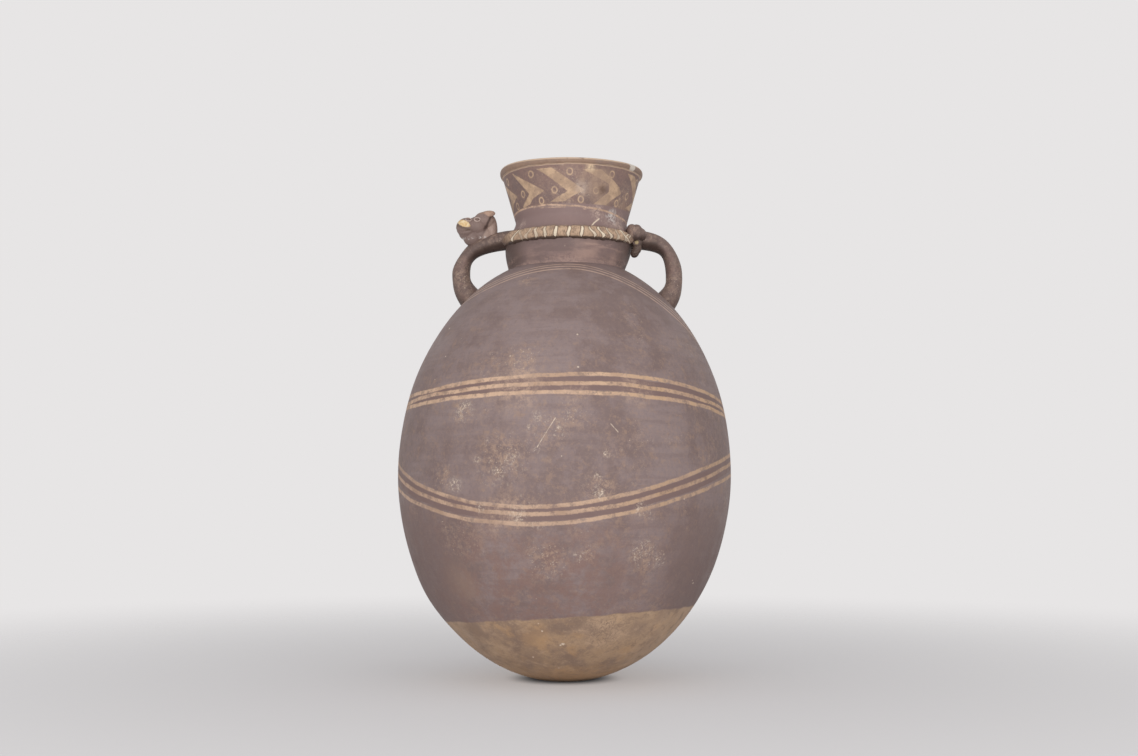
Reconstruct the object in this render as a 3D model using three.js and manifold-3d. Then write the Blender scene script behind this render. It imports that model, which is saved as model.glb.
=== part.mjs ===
// A tall two-handled clay jar with a feline modelled round its neck.
// Millimetres, +Z up. The foot's flat face lies at z = 0, centred on the belly's axis.
// The feline faces -X and its striped body crosses the neck on the -Y side.

import * as THREE from 'three';
import { mergeVertices } from 'three/addons/utils/BufferGeometryUtils.js';
import Module from 'manifold-3d';

const wasm = await Module();
wasm.setup();

// Clearance left between pieces that are luted together on curved faces.
const LUTE_GAP = 0.3;

// Belly: an upper and a lower half-ellipse that share one radius.
const BELLY_RADIUS = 149;
const UPPER_RISE = 198;
const LOWER_DROP = 183;
const FOOT_RADIUS = 24;
const BELLY_WALL = 7;
const BASE_WALL = 10;

// Heights of the level joints between the base bowl and the wall coils.
const BASE_BOWL_TOP_Z = 58;
const LOWER_COIL_TOP_Z = 120;
const UPPER_COIL_BOTTOM_Z = 245;
const DOME_BOTTOM_Z = 306;

// Neck, from its seat on the shoulder up to the lip.
const NECK_SEAT_RADIUS = 53.4;
const NECK_CREASE_HEIGHT = 2;
const NECK_BULGE_SWELL = 4.6;
const NECK_BULGE_RISE = 23;
const THROAT_DRAW_IN = 7;
const THROAT_RISE = 44;
const COLLAR_FLARE = 11.8;
const COLLAR_HEIGHT = 41.6;
const COLLAR_COIL_RISE = 8;
const NECK_WALL = 6;
const NECK_OFFSET_X = 6;

// Lip: a rounded bead with a narrow flat top.
const LIP_OVERHANG = 2.6;
const LIP_HEIGHT = 7;
const LIP_FLAT_WIDTH = 3.2;

// The feline's body: a clay fillet round the front of the neck, and its tail round the back.
const FILLET_RISE = 3;
const FILLET_HEIGHT = 11.6;
const FILLET_DEPTH = 11;
const FILLET_STAND = 1;
const TAIL_HEIGHT = 8;
const TAIL_DEPTH = 8;
const TAIL_TIP_SHARE = 0.45;
const TAIL_ROOT_ANGLE = 5;
const TAIL_TIP_ANGLE = 158;
const BODY_ROOT_ANGLE = 185;

// Handles: oval bars from the neck to the shoulder, one on each side. Each bar's centre line
// starts at its rise above the fillet, bends over where it overhangs the wall at its root, and
// comes down to that root, which lies the root drop below the neck's seat.
const HANDLE_THICKNESS = 14.6;
const HANDLE_DEPTH = 20;
const HANDLE_ROOT_THICKNESS = 27;
const HANDLE_ROOT_DEPTH = 30;
const HANDLE_NECK_THICKNESS = 17.6;
const HANDLE_NECK_DEPTH = 25;
const HANDLE_SINK = 12;
const LEFT_HANDLE = { side: -1, overhang: 6.25, rise: 3.6, bendDrop: 32, rootDrop: 26, squareness: 2.1 };
const RIGHT_HANDLE = { side: 1, overhang: 6.8, rise: 4.4, bendDrop: 37, rootDrop: 30.4, squareness: 2.6 };

// The feline's head stands on the left handle, set in from the handle's outer bend.
const HEAD_SIZE = [24, 24, 25];
const HEAD_INSET = 19.6;
const HEAD_STAND = 11.4;
const MUZZLE_SIZE = [20, 18.6, 19.4];
const MUZZLE_REACH = 14.4;
const MUZZLE_DROP = 2.1;
const MUZZLE_TURN = 3;
const EAR_SIZE = [15, 8, 8];
const EAR_SPREAD = 7.6;
const EAR_BACK = 6.4;
const EAR_RISE = 9;
const CHEST_SIZE = [22, 17, 17];
const CHEST_FORWARD = 7;
const CHEST_DROP = 9.6;
const NAPE_SIZE = [11, 17, 26];
const NAPE_BACK = 8.6;
const NAPE_DROP = 4;

// The hind quarters at the right handle: a rounded haunch, and a paw hung on the handle's front.
const HAUNCH_SIZE = [13.6, 21, 16.4];
const HAUNCH_ABOVE_FILLET = 6.4;
const HAUNCH_ANGLE = -20;
const HAUNCH_STAND = 4.8;
const PAW_SIZE = [9, 9.6, 19];
const PAW_BELOW_FILLET = 7;
const PAW_STAND = 3.8;
const PAW_FORWARD = 1;

// Facet counts.
const ROUND_STEPS = 48;
const BAR_SIDES = 14;
const LUMP_STEPS = 16;

// Fired clay and paint colours.
const CLAY = {
  slip: 0x8f7f7b,
  darkSlip: 0x78675f,
  bare: 0x94795f,
  bodyPaint: 0xb89d88,
  rimPaint: 0xae9582,
  muzzle: 0xa58a74,
};

const bellyZ = LOWER_DROP * Math.sqrt(1 - (FOOT_RADIUS / BELLY_RADIUS) ** 2);
const neckBulgeRadius = NECK_SEAT_RADIUS + NECK_BULGE_SWELL;
const throatRadius = neckBulgeRadius - THROAT_DRAW_IN;
const collarRadius = throatRadius + COLLAR_FLARE;
const lipRadius = collarRadius + LIP_OVERHANG;
const neckSeatZ = bellyZ + UPPER_RISE * Math.sqrt(1 - (NECK_SEAT_RADIUS / BELLY_RADIUS) ** 2);
const creaseZ = neckSeatZ + NECK_CREASE_HEIGHT;
const bulgeZ = neckSeatZ + NECK_BULGE_RISE;
const throatZ = neckSeatZ + THROAT_RISE;
const collarCoilZ = throatZ + COLLAR_COIL_RISE;
const collarTopZ = throatZ + COLLAR_HEIGHT;
const lipTopZ = collarTopZ + LIP_HEIGHT;
const filletZ = bulgeZ + FILLET_RISE;

// Radius and height helpers

function shellEllipse(z, inner) {
  const radius = inner ? BELLY_RADIUS - BELLY_WALL : BELLY_RADIUS;
  const outerSemiAxis = z >= bellyZ ? UPPER_RISE : LOWER_DROP;
  const wall = z >= bellyZ ? BELLY_WALL : BASE_WALL;
  return { radius, semiAxis: inner ? outerSemiAxis - wall : outerSemiAxis };
}

function shellRadius(z) {
  const { radius, semiAxis } = shellEllipse(z, false);
  return radius * Math.sqrt(Math.max(0, 1 - ((z - bellyZ) / semiAxis) ** 2));
}

function shellArc(fromZ, toZ, inner, steps) {
  const { radius, semiAxis } = shellEllipse((fromZ + toZ) / 2, inner);
  const start = Math.asin((fromZ - bellyZ) / semiAxis);
  const end = Math.asin((toZ - bellyZ) / semiAxis);
  const points = [];
  for (let step = 0; step <= steps; step += 1) {
    const angle = start + ((end - start) * step) / steps;
    points.push(new THREE.Vector2(radius * Math.cos(angle), bellyZ + semiAxis * Math.sin(angle)));
  }
  return points;
}

function ease(share) {
  const clamped = Math.min(1, Math.max(0, share));
  return (1 - Math.cos(Math.PI * clamped)) / 2;
}

function neckRadius(z) {
  if (z >= throatZ) {
    const share = (z - throatZ) / COLLAR_HEIGHT;
    return throatRadius + (collarRadius - throatRadius) * share;
  }
  if (z >= bulgeZ) {
    const share = ease((z - bulgeZ) / (throatZ - bulgeZ));
    return neckBulgeRadius + (throatRadius - neckBulgeRadius) * share;
  }
  const share = ease((z - creaseZ) / (bulgeZ - creaseZ));
  return NECK_SEAT_RADIUS + (neckBulgeRadius - NECK_SEAT_RADIUS) * share;
}

// The hand-built jar leans its shoulder and neck a little towards +X.
function neckOffset(z) {
  const share = Math.min(1, Math.max(0, (z - DOME_BOTTOM_Z) / (throatZ - DOME_BOTTOM_Z)));
  return NECK_OFFSET_X * share ** 2;
}

function neckLine(fromZ, toZ, inset, steps) {
  const points = [];
  for (let step = 0; step <= steps; step += 1) {
    const z = fromZ + ((toZ - fromZ) * step) / steps;
    points.push(new THREE.Vector2(neckRadius(z) - inset, z));
  }
  return points;
}

// Turning geometries into closed bodies

function closedGeometry(geometry) {
  const bare = geometry.index ? geometry.toNonIndexed() : geometry.clone();
  bare.deleteAttribute('normal');
  bare.deleteAttribute('uv');
  return mergeVertices(bare, 1e-4);
}

function toSolid(geometry) {
  const merged = closedGeometry(geometry);
  const corners = [];
  const index = merged.index.array;
  for (let face = 0; face < index.length; face += 3) {
    const [a, b, c] = [index[face], index[face + 1], index[face + 2]];
    if (a !== b && b !== c && c !== a) corners.push(a, b, c);
  }
  const vertProperties = new Float32Array(merged.attributes.position.array);
  if (signedVolume(vertProperties, corners) < 0) corners.reverse();
  return new wasm.Manifold(new wasm.Mesh({ numProp: 3, vertProperties, triVerts: new Uint32Array(corners) }));
}

function signedVolume(positions, corners) {
  const [a, b, c] = [new THREE.Vector3(), new THREE.Vector3(), new THREE.Vector3()];
  let volume = 0;
  for (let face = 0; face < corners.length; face += 3) {
    a.fromArray(positions, corners[face] * 3);
    b.fromArray(positions, corners[face + 1] * 3);
    c.fromArray(positions, corners[face + 2] * 3);
    volume += a.dot(b.cross(c)) / 6;
  }
  return volume;
}

function toGeometry(solid) {
  const mesh = solid.getMesh();
  const geometry = new THREE.BufferGeometry();
  geometry.setAttribute('position', new THREE.BufferAttribute(mesh.vertProperties, mesh.numProp));
  geometry.setIndex(new THREE.BufferAttribute(mesh.triVerts, 1));
  geometry.computeVertexNormals();
  return geometry;
}

function turned(profile) {
  const geometry = new THREE.LatheGeometry(profile, ROUND_STEPS);
  geometry.rotateX(Math.PI / 2);
  const position = geometry.attributes.position;
  for (let vertex = 0; vertex < position.count; vertex += 1) {
    position.setX(vertex, position.getX(vertex) + neckOffset(position.getZ(vertex)));
  }
  return toSolid(geometry);
}

function ring(outer, inner) {
  return turned([...outer, ...inner.reverse(), outer[0]]);
}

function lump(size, centre, growth = 0) {
  const geometry = new THREE.SphereGeometry(0.5, LUMP_STEPS, LUMP_STEPS * 0.75);
  geometry.rotateX(Math.PI / 2);
  geometry.scale(...size.map((length) => length + 2 * growth));
  geometry.translate(...centre);
  return toSolid(geometry);
}

// A bar with an oval section that follows points of { centre, across, up, halfAcross, halfUp }.
function bar(stations) {
  const corners = [];
  for (const station of stations) {
    for (let side = 0; side < BAR_SIDES; side += 1) {
      const angle = (2 * Math.PI * side) / BAR_SIDES;
      const corner = station.centre.clone();
      corner.addScaledVector(station.across, station.halfAcross * Math.cos(angle));
      corner.addScaledVector(station.up, station.halfUp * Math.sin(angle));
      corners.push(corner);
    }
  }
  const faces = [];
  for (let row = 0; row + 1 < stations.length; row += 1) {
    for (let side = 0; side < BAR_SIDES; side += 1) {
      const next = (side + 1) % BAR_SIDES;
      const [a, b] = [row * BAR_SIDES + side, row * BAR_SIDES + next];
      faces.push(a, b, b + BAR_SIDES, a, b + BAR_SIDES, a + BAR_SIDES);
    }
  }
  const last = (stations.length - 1) * BAR_SIDES;
  for (let side = 1; side + 1 < BAR_SIDES; side += 1) {
    faces.push(0, side + 1, side, last, last + side, last + side + 1);
  }
  const geometry = new THREE.BufferGeometry().setFromPoints(corners);
  geometry.setIndex(faces);
  return toSolid(geometry);
}

// Solid plugs of the belly and the neck, grown by the luting gap, that cut the applied pieces

function bellyPlug() {
  const foot = new THREE.Vector2(0, 0);
  const outline = [...shellArc(0, bellyZ, false, 12), ...shellArc(bellyZ, neckSeatZ, false, 18).slice(1)];
  const grown = outline.map((point) => new THREE.Vector2(point.x + LUTE_GAP, point.y + LUTE_GAP));
  return turned([foot, ...grown, new THREE.Vector2(0, grown.at(-1).y)]);
}

function neckPlug() {
  const outline = neckLine(neckSeatZ, collarTopZ, -LUTE_GAP, 30);
  return turned([new THREE.Vector2(0, neckSeatZ), ...outline, new THREE.Vector2(0, collarTopZ)]);
}

const bellySolid = bellyPlug();
const neckSolid = neckPlug();

// Base bowl: the bare clay base with its small flat foot

function baseBowl() {
  const cavityFloorZ = bellyZ - (LOWER_DROP - BASE_WALL);
  const outer = shellArc(0, BASE_BOWL_TOP_Z, false, 7);
  const inner = shellArc(cavityFloorZ, BASE_BOWL_TOP_Z, true, 7);
  inner[0].x = 0;
  return turned([new THREE.Vector2(0, 0), ...outer, ...inner.reverse()]);
}

// Wall coils: plain turned rings that butt on level joints

function wallCoil(bottomZ, topZ, steps) {
  return ring(shellArc(bottomZ, topZ, false, steps), shellArc(bottomZ, topZ, true, steps));
}

// Shoulder dome: the last coil, drawn in to the hole that the neck stands on

function shoulderDome() {
  const mouthRadius = NECK_SEAT_RADIUS - NECK_WALL;
  const innerRise = UPPER_RISE - BELLY_WALL;
  const innerRadius = BELLY_RADIUS - BELLY_WALL;
  const mouthZ = bellyZ + innerRise * Math.sqrt(1 - (mouthRadius / innerRadius) ** 2);
  const outer = shellArc(DOME_BOTTOM_Z, neckSeatZ, false, 7);
  const inner = shellArc(DOME_BOTTOM_Z, mouthZ, true, 7);
  inner.push(new THREE.Vector2(mouthRadius, neckSeatZ));
  return ring(outer, inner);
}

// Neck rings: the swollen lower neck, the throat and the flared collar

function neckCoil(bottomZ, topZ, steps) {
  return ring(neckLine(bottomZ, topZ, 0, steps), neckLine(bottomZ, topZ, NECK_WALL, steps));
}

// Rim lip: a bead on top of the collar

function rimLip() {
  const innerRadius = collarRadius - NECK_WALL;
  const crownRadius = (lipRadius + innerRadius) / 2;
  const outer = new THREE.CubicBezierCurve(
    new THREE.Vector2(collarRadius, collarTopZ),
    new THREE.Vector2(lipRadius + 1, collarTopZ + LIP_HEIGHT * 0.2),
    new THREE.Vector2(lipRadius + 0.6, lipTopZ),
    new THREE.Vector2(crownRadius + LIP_FLAT_WIDTH / 2, lipTopZ),
  ).getPoints(6);
  const inner = new THREE.QuadraticBezierCurve(
    new THREE.Vector2(innerRadius, collarTopZ),
    new THREE.Vector2(innerRadius, lipTopZ),
    new THREE.Vector2(crownRadius - LIP_FLAT_WIDTH / 2, lipTopZ),
  ).getPoints(3);
  return ring(outer, inner);
}

// Handles: a superelliptic bend from the neck, then a parabola down to the belly

function handleRootZ({ rootDrop }) {
  return neckSeatZ - rootDrop;
}

function handleReach(handle) {
  return shellRadius(handleRootZ(handle)) + handle.overhang;
}

function handlePath(handle) {
  const { side, rise, bendDrop, squareness } = handle;
  const rootZ = handleRootZ(handle);
  const topZ = filletZ + rise;
  const bendZ = topZ - bendDrop;
  const neckX = side * (neckRadius(topZ) - HANDLE_SINK) + neckOffset(topZ);
  const reachX = side * handleReach(handle);
  const rootX = side * shellRadius(rootZ) + neckOffset(rootZ);
  const path = [];
  const upperSteps = 11;
  for (let step = 0; step < upperSteps; step += 1) {
    const angle = (Math.PI / 2) * (step / upperSteps);
    const out = Math.sin(angle) ** (2 / squareness);
    const drop = Math.cos(angle) ** (2 / squareness);
    path.push(new THREE.Vector3(neckX + (reachX - neckX) * out, 0, bendZ + bendDrop * drop));
  }
  const lowerSteps = 8;
  const overrun = 1.35;
  for (let step = 0; step <= lowerSteps; step += 1) {
    const share = (overrun * step) / lowerSteps;
    path.push(new THREE.Vector3(reachX + (rootX - reachX) * share ** 2, 0, bendZ + (rootZ - bendZ) * share));
  }
  return path;
}

// The bar swells at both ends, and its lower root swells towards the loop only.
function handleStations(handle, growth) {
  const path = handlePath(handle);
  const outerLineShare = 0.55;
  return path.map((point, row) => {
    const ahead = path[Math.min(row + 1, path.length - 1)];
    const behind = path[Math.max(row - 1, 0)];
    const along = ahead.clone().sub(behind).normalize();
    const share = row / (path.length - 1);
    const root = ease((share - 0.64) / 0.28);
    const neck = ease((0.34 - share) / 0.3);
    const rootSwell = (HANDLE_ROOT_THICKNESS - HANDLE_THICKNESS) * root;
    const neckSwell = (HANDLE_NECK_THICKNESS - HANDLE_THICKNESS) * neck;
    const thickness = HANDLE_THICKNESS + rootSwell + neckSwell;
    const rootSpread = (HANDLE_ROOT_DEPTH - HANDLE_DEPTH) * root;
    const neckSpread = (HANDLE_NECK_DEPTH - HANDLE_DEPTH) * neck;
    const depth = HANDLE_DEPTH + rootSpread + neckSpread;
    const across = new THREE.Vector3(along.z, 0, -along.x);
    const centre = point.clone().addScaledVector(across, (handle.side * outerLineShare * rootSwell) / 2);
    const up = new THREE.Vector3(0, 1, 0);
    return { centre, across, up, halfAcross: thickness / 2 + growth, halfUp: depth / 2 + growth };
  });
}

function handleBar(handle, growth = 0) {
  return bar(handleStations(handle, growth));
}

function handlePiece(handle) {
  return handleBar(handle).subtract(bellySolid).subtract(neckSolid);
}

// Height of a handle's upper face above the point x on its path
function handleTopAt(handle, x) {
  const path = handlePath(handle);
  const row = path.findIndex((point) => handle.side * (point.x - x) >= 0);
  const [before, after] = [path[row - 1], path[row]];
  const share = (x - before.x) / (after.x - before.x);
  return before.z + (after.z - before.z) * share + HANDLE_THICKNESS / 2;
}

const leftHandleSpace = handleBar(LEFT_HANDLE, LUTE_GAP);
const rightHandleSpace = handleBar(RIGHT_HANDLE, LUTE_GAP);

// Fillets laid round the neck: the feline's striped body and its tail

function filletStations({ from, to, height, depth, tipShare }) {
  const steps = 32;
  const radius = neckRadius(filletZ) + FILLET_STAND;
  const stations = [];
  for (let step = 0; step <= steps; step += 1) {
    const share = step / steps;
    const angle = THREE.MathUtils.degToRad(from + (to - from) * share);
    const across = new THREE.Vector3(Math.cos(angle), Math.sin(angle), 0);
    const centre = across.clone().multiplyScalar(radius);
    centre.x += neckOffset(filletZ);
    centre.z = filletZ;
    const up = new THREE.Vector3(0, 0, 1);
    const size = 1 + (tipShare - 1) * share ** 2;
    stations.push({ centre, across, up, halfAcross: (depth / 2) * size, halfUp: (height / 2) * size });
  }
  return stations;
}

function felineBody() {
  const span = { from: BODY_ROOT_ANGLE, to: 360 + HAUNCH_ANGLE };
  const stations = filletStations({ ...span, height: FILLET_HEIGHT, depth: FILLET_DEPTH, tipShare: 1 });
  return bar(stations).subtract(neckSolid).subtract(leftHandleSpace).subtract(haunchSpace);
}

function felineTail() {
  const span = { from: TAIL_ROOT_ANGLE, to: TAIL_TIP_ANGLE };
  const section = { height: TAIL_HEIGHT, depth: TAIL_DEPTH, tipShare: TAIL_TIP_SHARE };
  return bar(filletStations({ ...span, ...section })).subtract(neckSolid).subtract(rightHandleSpace);
}

// Hind quarters: the haunch covers the fillet's right end, and the paw hangs under it

function haunchCentre() {
  const angle = THREE.MathUtils.degToRad(HAUNCH_ANGLE);
  const radius = neckRadius(filletZ) + HAUNCH_STAND;
  const x = neckOffset(filletZ) + radius * Math.cos(angle);
  return [x, radius * Math.sin(angle), filletZ + HAUNCH_ABOVE_FILLET];
}

function pawCentre() {
  const x = neckOffset(filletZ) + neckRadius(filletZ) + PAW_STAND;
  return [x, -HANDLE_NECK_DEPTH / 2 - PAW_FORWARD, filletZ - PAW_BELOW_FILLET];
}

const haunchSpace = lump(HAUNCH_SIZE, haunchCentre(), LUTE_GAP);

function felineHaunch() {
  return lump(HAUNCH_SIZE, haunchCentre()).subtract(neckSolid).subtract(rightHandleSpace);
}

function felineHindPaw() {
  return lump(PAW_SIZE, pawCentre())
    .subtract(neckSolid)
    .subtract(rightHandleSpace)
    .subtract(haunchSpace);
}

// The feline's head: skull, muzzle, ears, chest and nape on the left handle's bend

const headX = LEFT_HANDLE.side * (handleReach(LEFT_HANDLE) - HEAD_INSET);
const headCentre = [headX, 0, handleTopAt(LEFT_HANDLE, headX) + HEAD_STAND];
const headZ = headCentre[2];
const muzzleCentre = [headX - MUZZLE_REACH, -MUZZLE_TURN, headZ - MUZZLE_DROP];
const chestCentre = [headX - CHEST_FORWARD, 0, headZ - CHEST_DROP];
const napeCentre = [headX + NAPE_BACK, 0, headZ - NAPE_DROP];
const headSpace = lump(HEAD_SIZE, headCentre, LUTE_GAP);
const muzzleSpace = lump(MUZZLE_SIZE, muzzleCentre, LUTE_GAP);
const napeSpace = lump(NAPE_SIZE, napeCentre, LUTE_GAP);

function felineHead() {
  return lump(HEAD_SIZE, headCentre).subtract(leftHandleSpace);
}

function felineMuzzle() {
  return lump(MUZZLE_SIZE, muzzleCentre).subtract(headSpace).subtract(leftHandleSpace);
}

function felineEar(side) {
  const centre = [headX + EAR_BACK, side * EAR_SPREAD, headZ + EAR_RISE];
  return lump(EAR_SIZE, centre).subtract(headSpace).subtract(napeSpace);
}

function felineChest() {
  return lump(CHEST_SIZE, chestCentre)
    .subtract(headSpace)
    .subtract(muzzleSpace)
    .subtract(napeSpace)
    .subtract(leftHandleSpace);
}

function felineNape() {
  return lump(NAPE_SIZE, napeCentre).subtract(headSpace).subtract(leftHandleSpace).subtract(neckSolid);
}

// Assembly

const jar = new THREE.Group();

function addPiece(name, solid, color, roughness) {
  const material = new THREE.MeshStandardMaterial({ color, roughness, metalness: 0 });
  const mesh = new THREE.Mesh(toGeometry(solid), material);
  mesh.name = name;
  jar.add(mesh);
}

addPiece('base_bowl', baseBowl(), CLAY.bare, 0.85);
addPiece('lower_wall_coil', wallCoil(BASE_BOWL_TOP_Z, LOWER_COIL_TOP_Z, 6), CLAY.slip, 0.7);
addPiece('belly_lower_coil', wallCoil(LOWER_COIL_TOP_Z, bellyZ, 4), CLAY.slip, 0.7);
addPiece('belly_upper_coil', wallCoil(bellyZ, UPPER_COIL_BOTTOM_Z, 4), CLAY.slip, 0.7);
addPiece('upper_wall_coil', wallCoil(UPPER_COIL_BOTTOM_Z, DOME_BOTTOM_Z, 5), CLAY.slip, 0.7);
addPiece('shoulder_dome', shoulderDome(), CLAY.slip, 0.7);
addPiece('neck_ring', neckCoil(neckSeatZ, filletZ, 7), CLAY.slip, 0.7);
addPiece('neck_throat', neckCoil(filletZ, collarCoilZ, 7), CLAY.slip, 0.7);
addPiece('flared_collar', neckCoil(collarCoilZ, collarTopZ, 3), CLAY.slip, 0.7);
addPiece('rim_lip', rimLip(), CLAY.rimPaint, 0.75);
addPiece('handle_left', handlePiece(LEFT_HANDLE), CLAY.darkSlip, 0.7);
addPiece('handle_right', handlePiece(RIGHT_HANDLE), CLAY.darkSlip, 0.7);
addPiece('feline_body', felineBody(), CLAY.bodyPaint, 0.8);
addPiece('feline_tail', felineTail(), CLAY.bodyPaint, 0.8);
addPiece('feline_haunch', felineHaunch(), CLAY.darkSlip, 0.75);
addPiece('feline_hind_paw', felineHindPaw(), CLAY.darkSlip, 0.75);
addPiece('feline_head', felineHead(), CLAY.darkSlip, 0.75);
addPiece('feline_muzzle', felineMuzzle(), CLAY.muzzle, 0.75);
addPiece('feline_ear_near', felineEar(-1), CLAY.darkSlip, 0.75);
addPiece('feline_ear_far', felineEar(1), CLAY.darkSlip, 0.75);
addPiece('feline_chest', felineChest(), CLAY.darkSlip, 0.75);
addPiece('feline_nape', felineNape(), CLAY.slip, 0.75);

export default jar;
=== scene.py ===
from math import atan, atan2, ceil, cos, degrees, exp, hypot, pi, radians, sin, sqrt, tau

import bpy
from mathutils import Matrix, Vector


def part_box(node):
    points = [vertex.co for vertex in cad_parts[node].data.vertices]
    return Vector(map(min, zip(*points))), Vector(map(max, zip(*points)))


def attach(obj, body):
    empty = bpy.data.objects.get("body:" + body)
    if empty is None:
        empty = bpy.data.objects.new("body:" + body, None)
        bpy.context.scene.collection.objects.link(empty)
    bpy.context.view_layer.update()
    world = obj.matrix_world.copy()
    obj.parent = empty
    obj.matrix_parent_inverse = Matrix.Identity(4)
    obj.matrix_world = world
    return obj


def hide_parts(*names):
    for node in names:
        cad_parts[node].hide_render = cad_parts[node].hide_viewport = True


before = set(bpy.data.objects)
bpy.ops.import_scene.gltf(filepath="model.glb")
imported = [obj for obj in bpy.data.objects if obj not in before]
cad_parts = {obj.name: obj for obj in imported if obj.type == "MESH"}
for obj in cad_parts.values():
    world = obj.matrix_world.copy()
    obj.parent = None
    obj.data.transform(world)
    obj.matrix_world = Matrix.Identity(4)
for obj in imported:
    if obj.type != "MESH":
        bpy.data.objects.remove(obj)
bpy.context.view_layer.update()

MM = 0.001

# Camera. It stands a little over a metre in front of the jar, at about a third of its height,
# and looks slightly up, so the collar and the fillet arch upwards and the foot shows from above.
PHOTO_WIDTH_PX = 1138
FOCAL_PX = 1400
EYE_LINE_BELOW_CENTRE_PX = 122
SENSOR_WIDTH = 36
CAMERA_PLACE = (4 * MM, -1264.8 * MM, 158 * MM)

bpy.ops.object.camera_add(
    location=CAMERA_PLACE,
    rotation=(pi / 2 + atan(EYE_LINE_BELOW_CENTRE_PX / FOCAL_PX), 0, 0),
)
camera = bpy.context.object
camera.data.sensor_width = SENSOR_WIDTH
camera.data.lens = SENSOR_WIDTH * FOCAL_PX / PHOTO_WIDTH_PX
bpy.context.scene.camera = camera
bpy.context.scene.view_settings.view_transform = "Standard"

# Floor. Plain pale paper, with a painted contact shadow right under the bowl, that fades into the
# pale background well behind the jar. It is lit softly from above and in front, so the jar throws
# only a small shadow.
FLOOR_RADIUS = 3.0
FADE_START_MM = 150
FADE_END_MM = 1200
FADE_AT_JAR = 0.33
CONTACT_SHADOW_FROM_MM = 24
CONTACT_SHADOW_TO_MM = 56


def tint(red, green, blue):
    """A colour as it is read off a swatch, made ready for a shader."""
    colour = []
    for share in (red / 255, green / 255, blue / 255):
        colour.append(share / 12.92 if share <= 0.04045 else ((share + 0.055) / 1.055) ** 2.4)
    return (*colour, 1)


def add_node(tree, kind, inputs=None, **settings):
    """Adds a node to a tree, with its inputs linked or set."""
    node = tree.nodes.new(kind)
    for name, value in settings.items():
        setattr(node, name, value)
    for place, value in (inputs or {}).items():
        if isinstance(value, bpy.types.NodeSocket):
            tree.links.new(value, node.inputs[place])
        else:
            node.inputs[place].default_value = value
    return node


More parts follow.
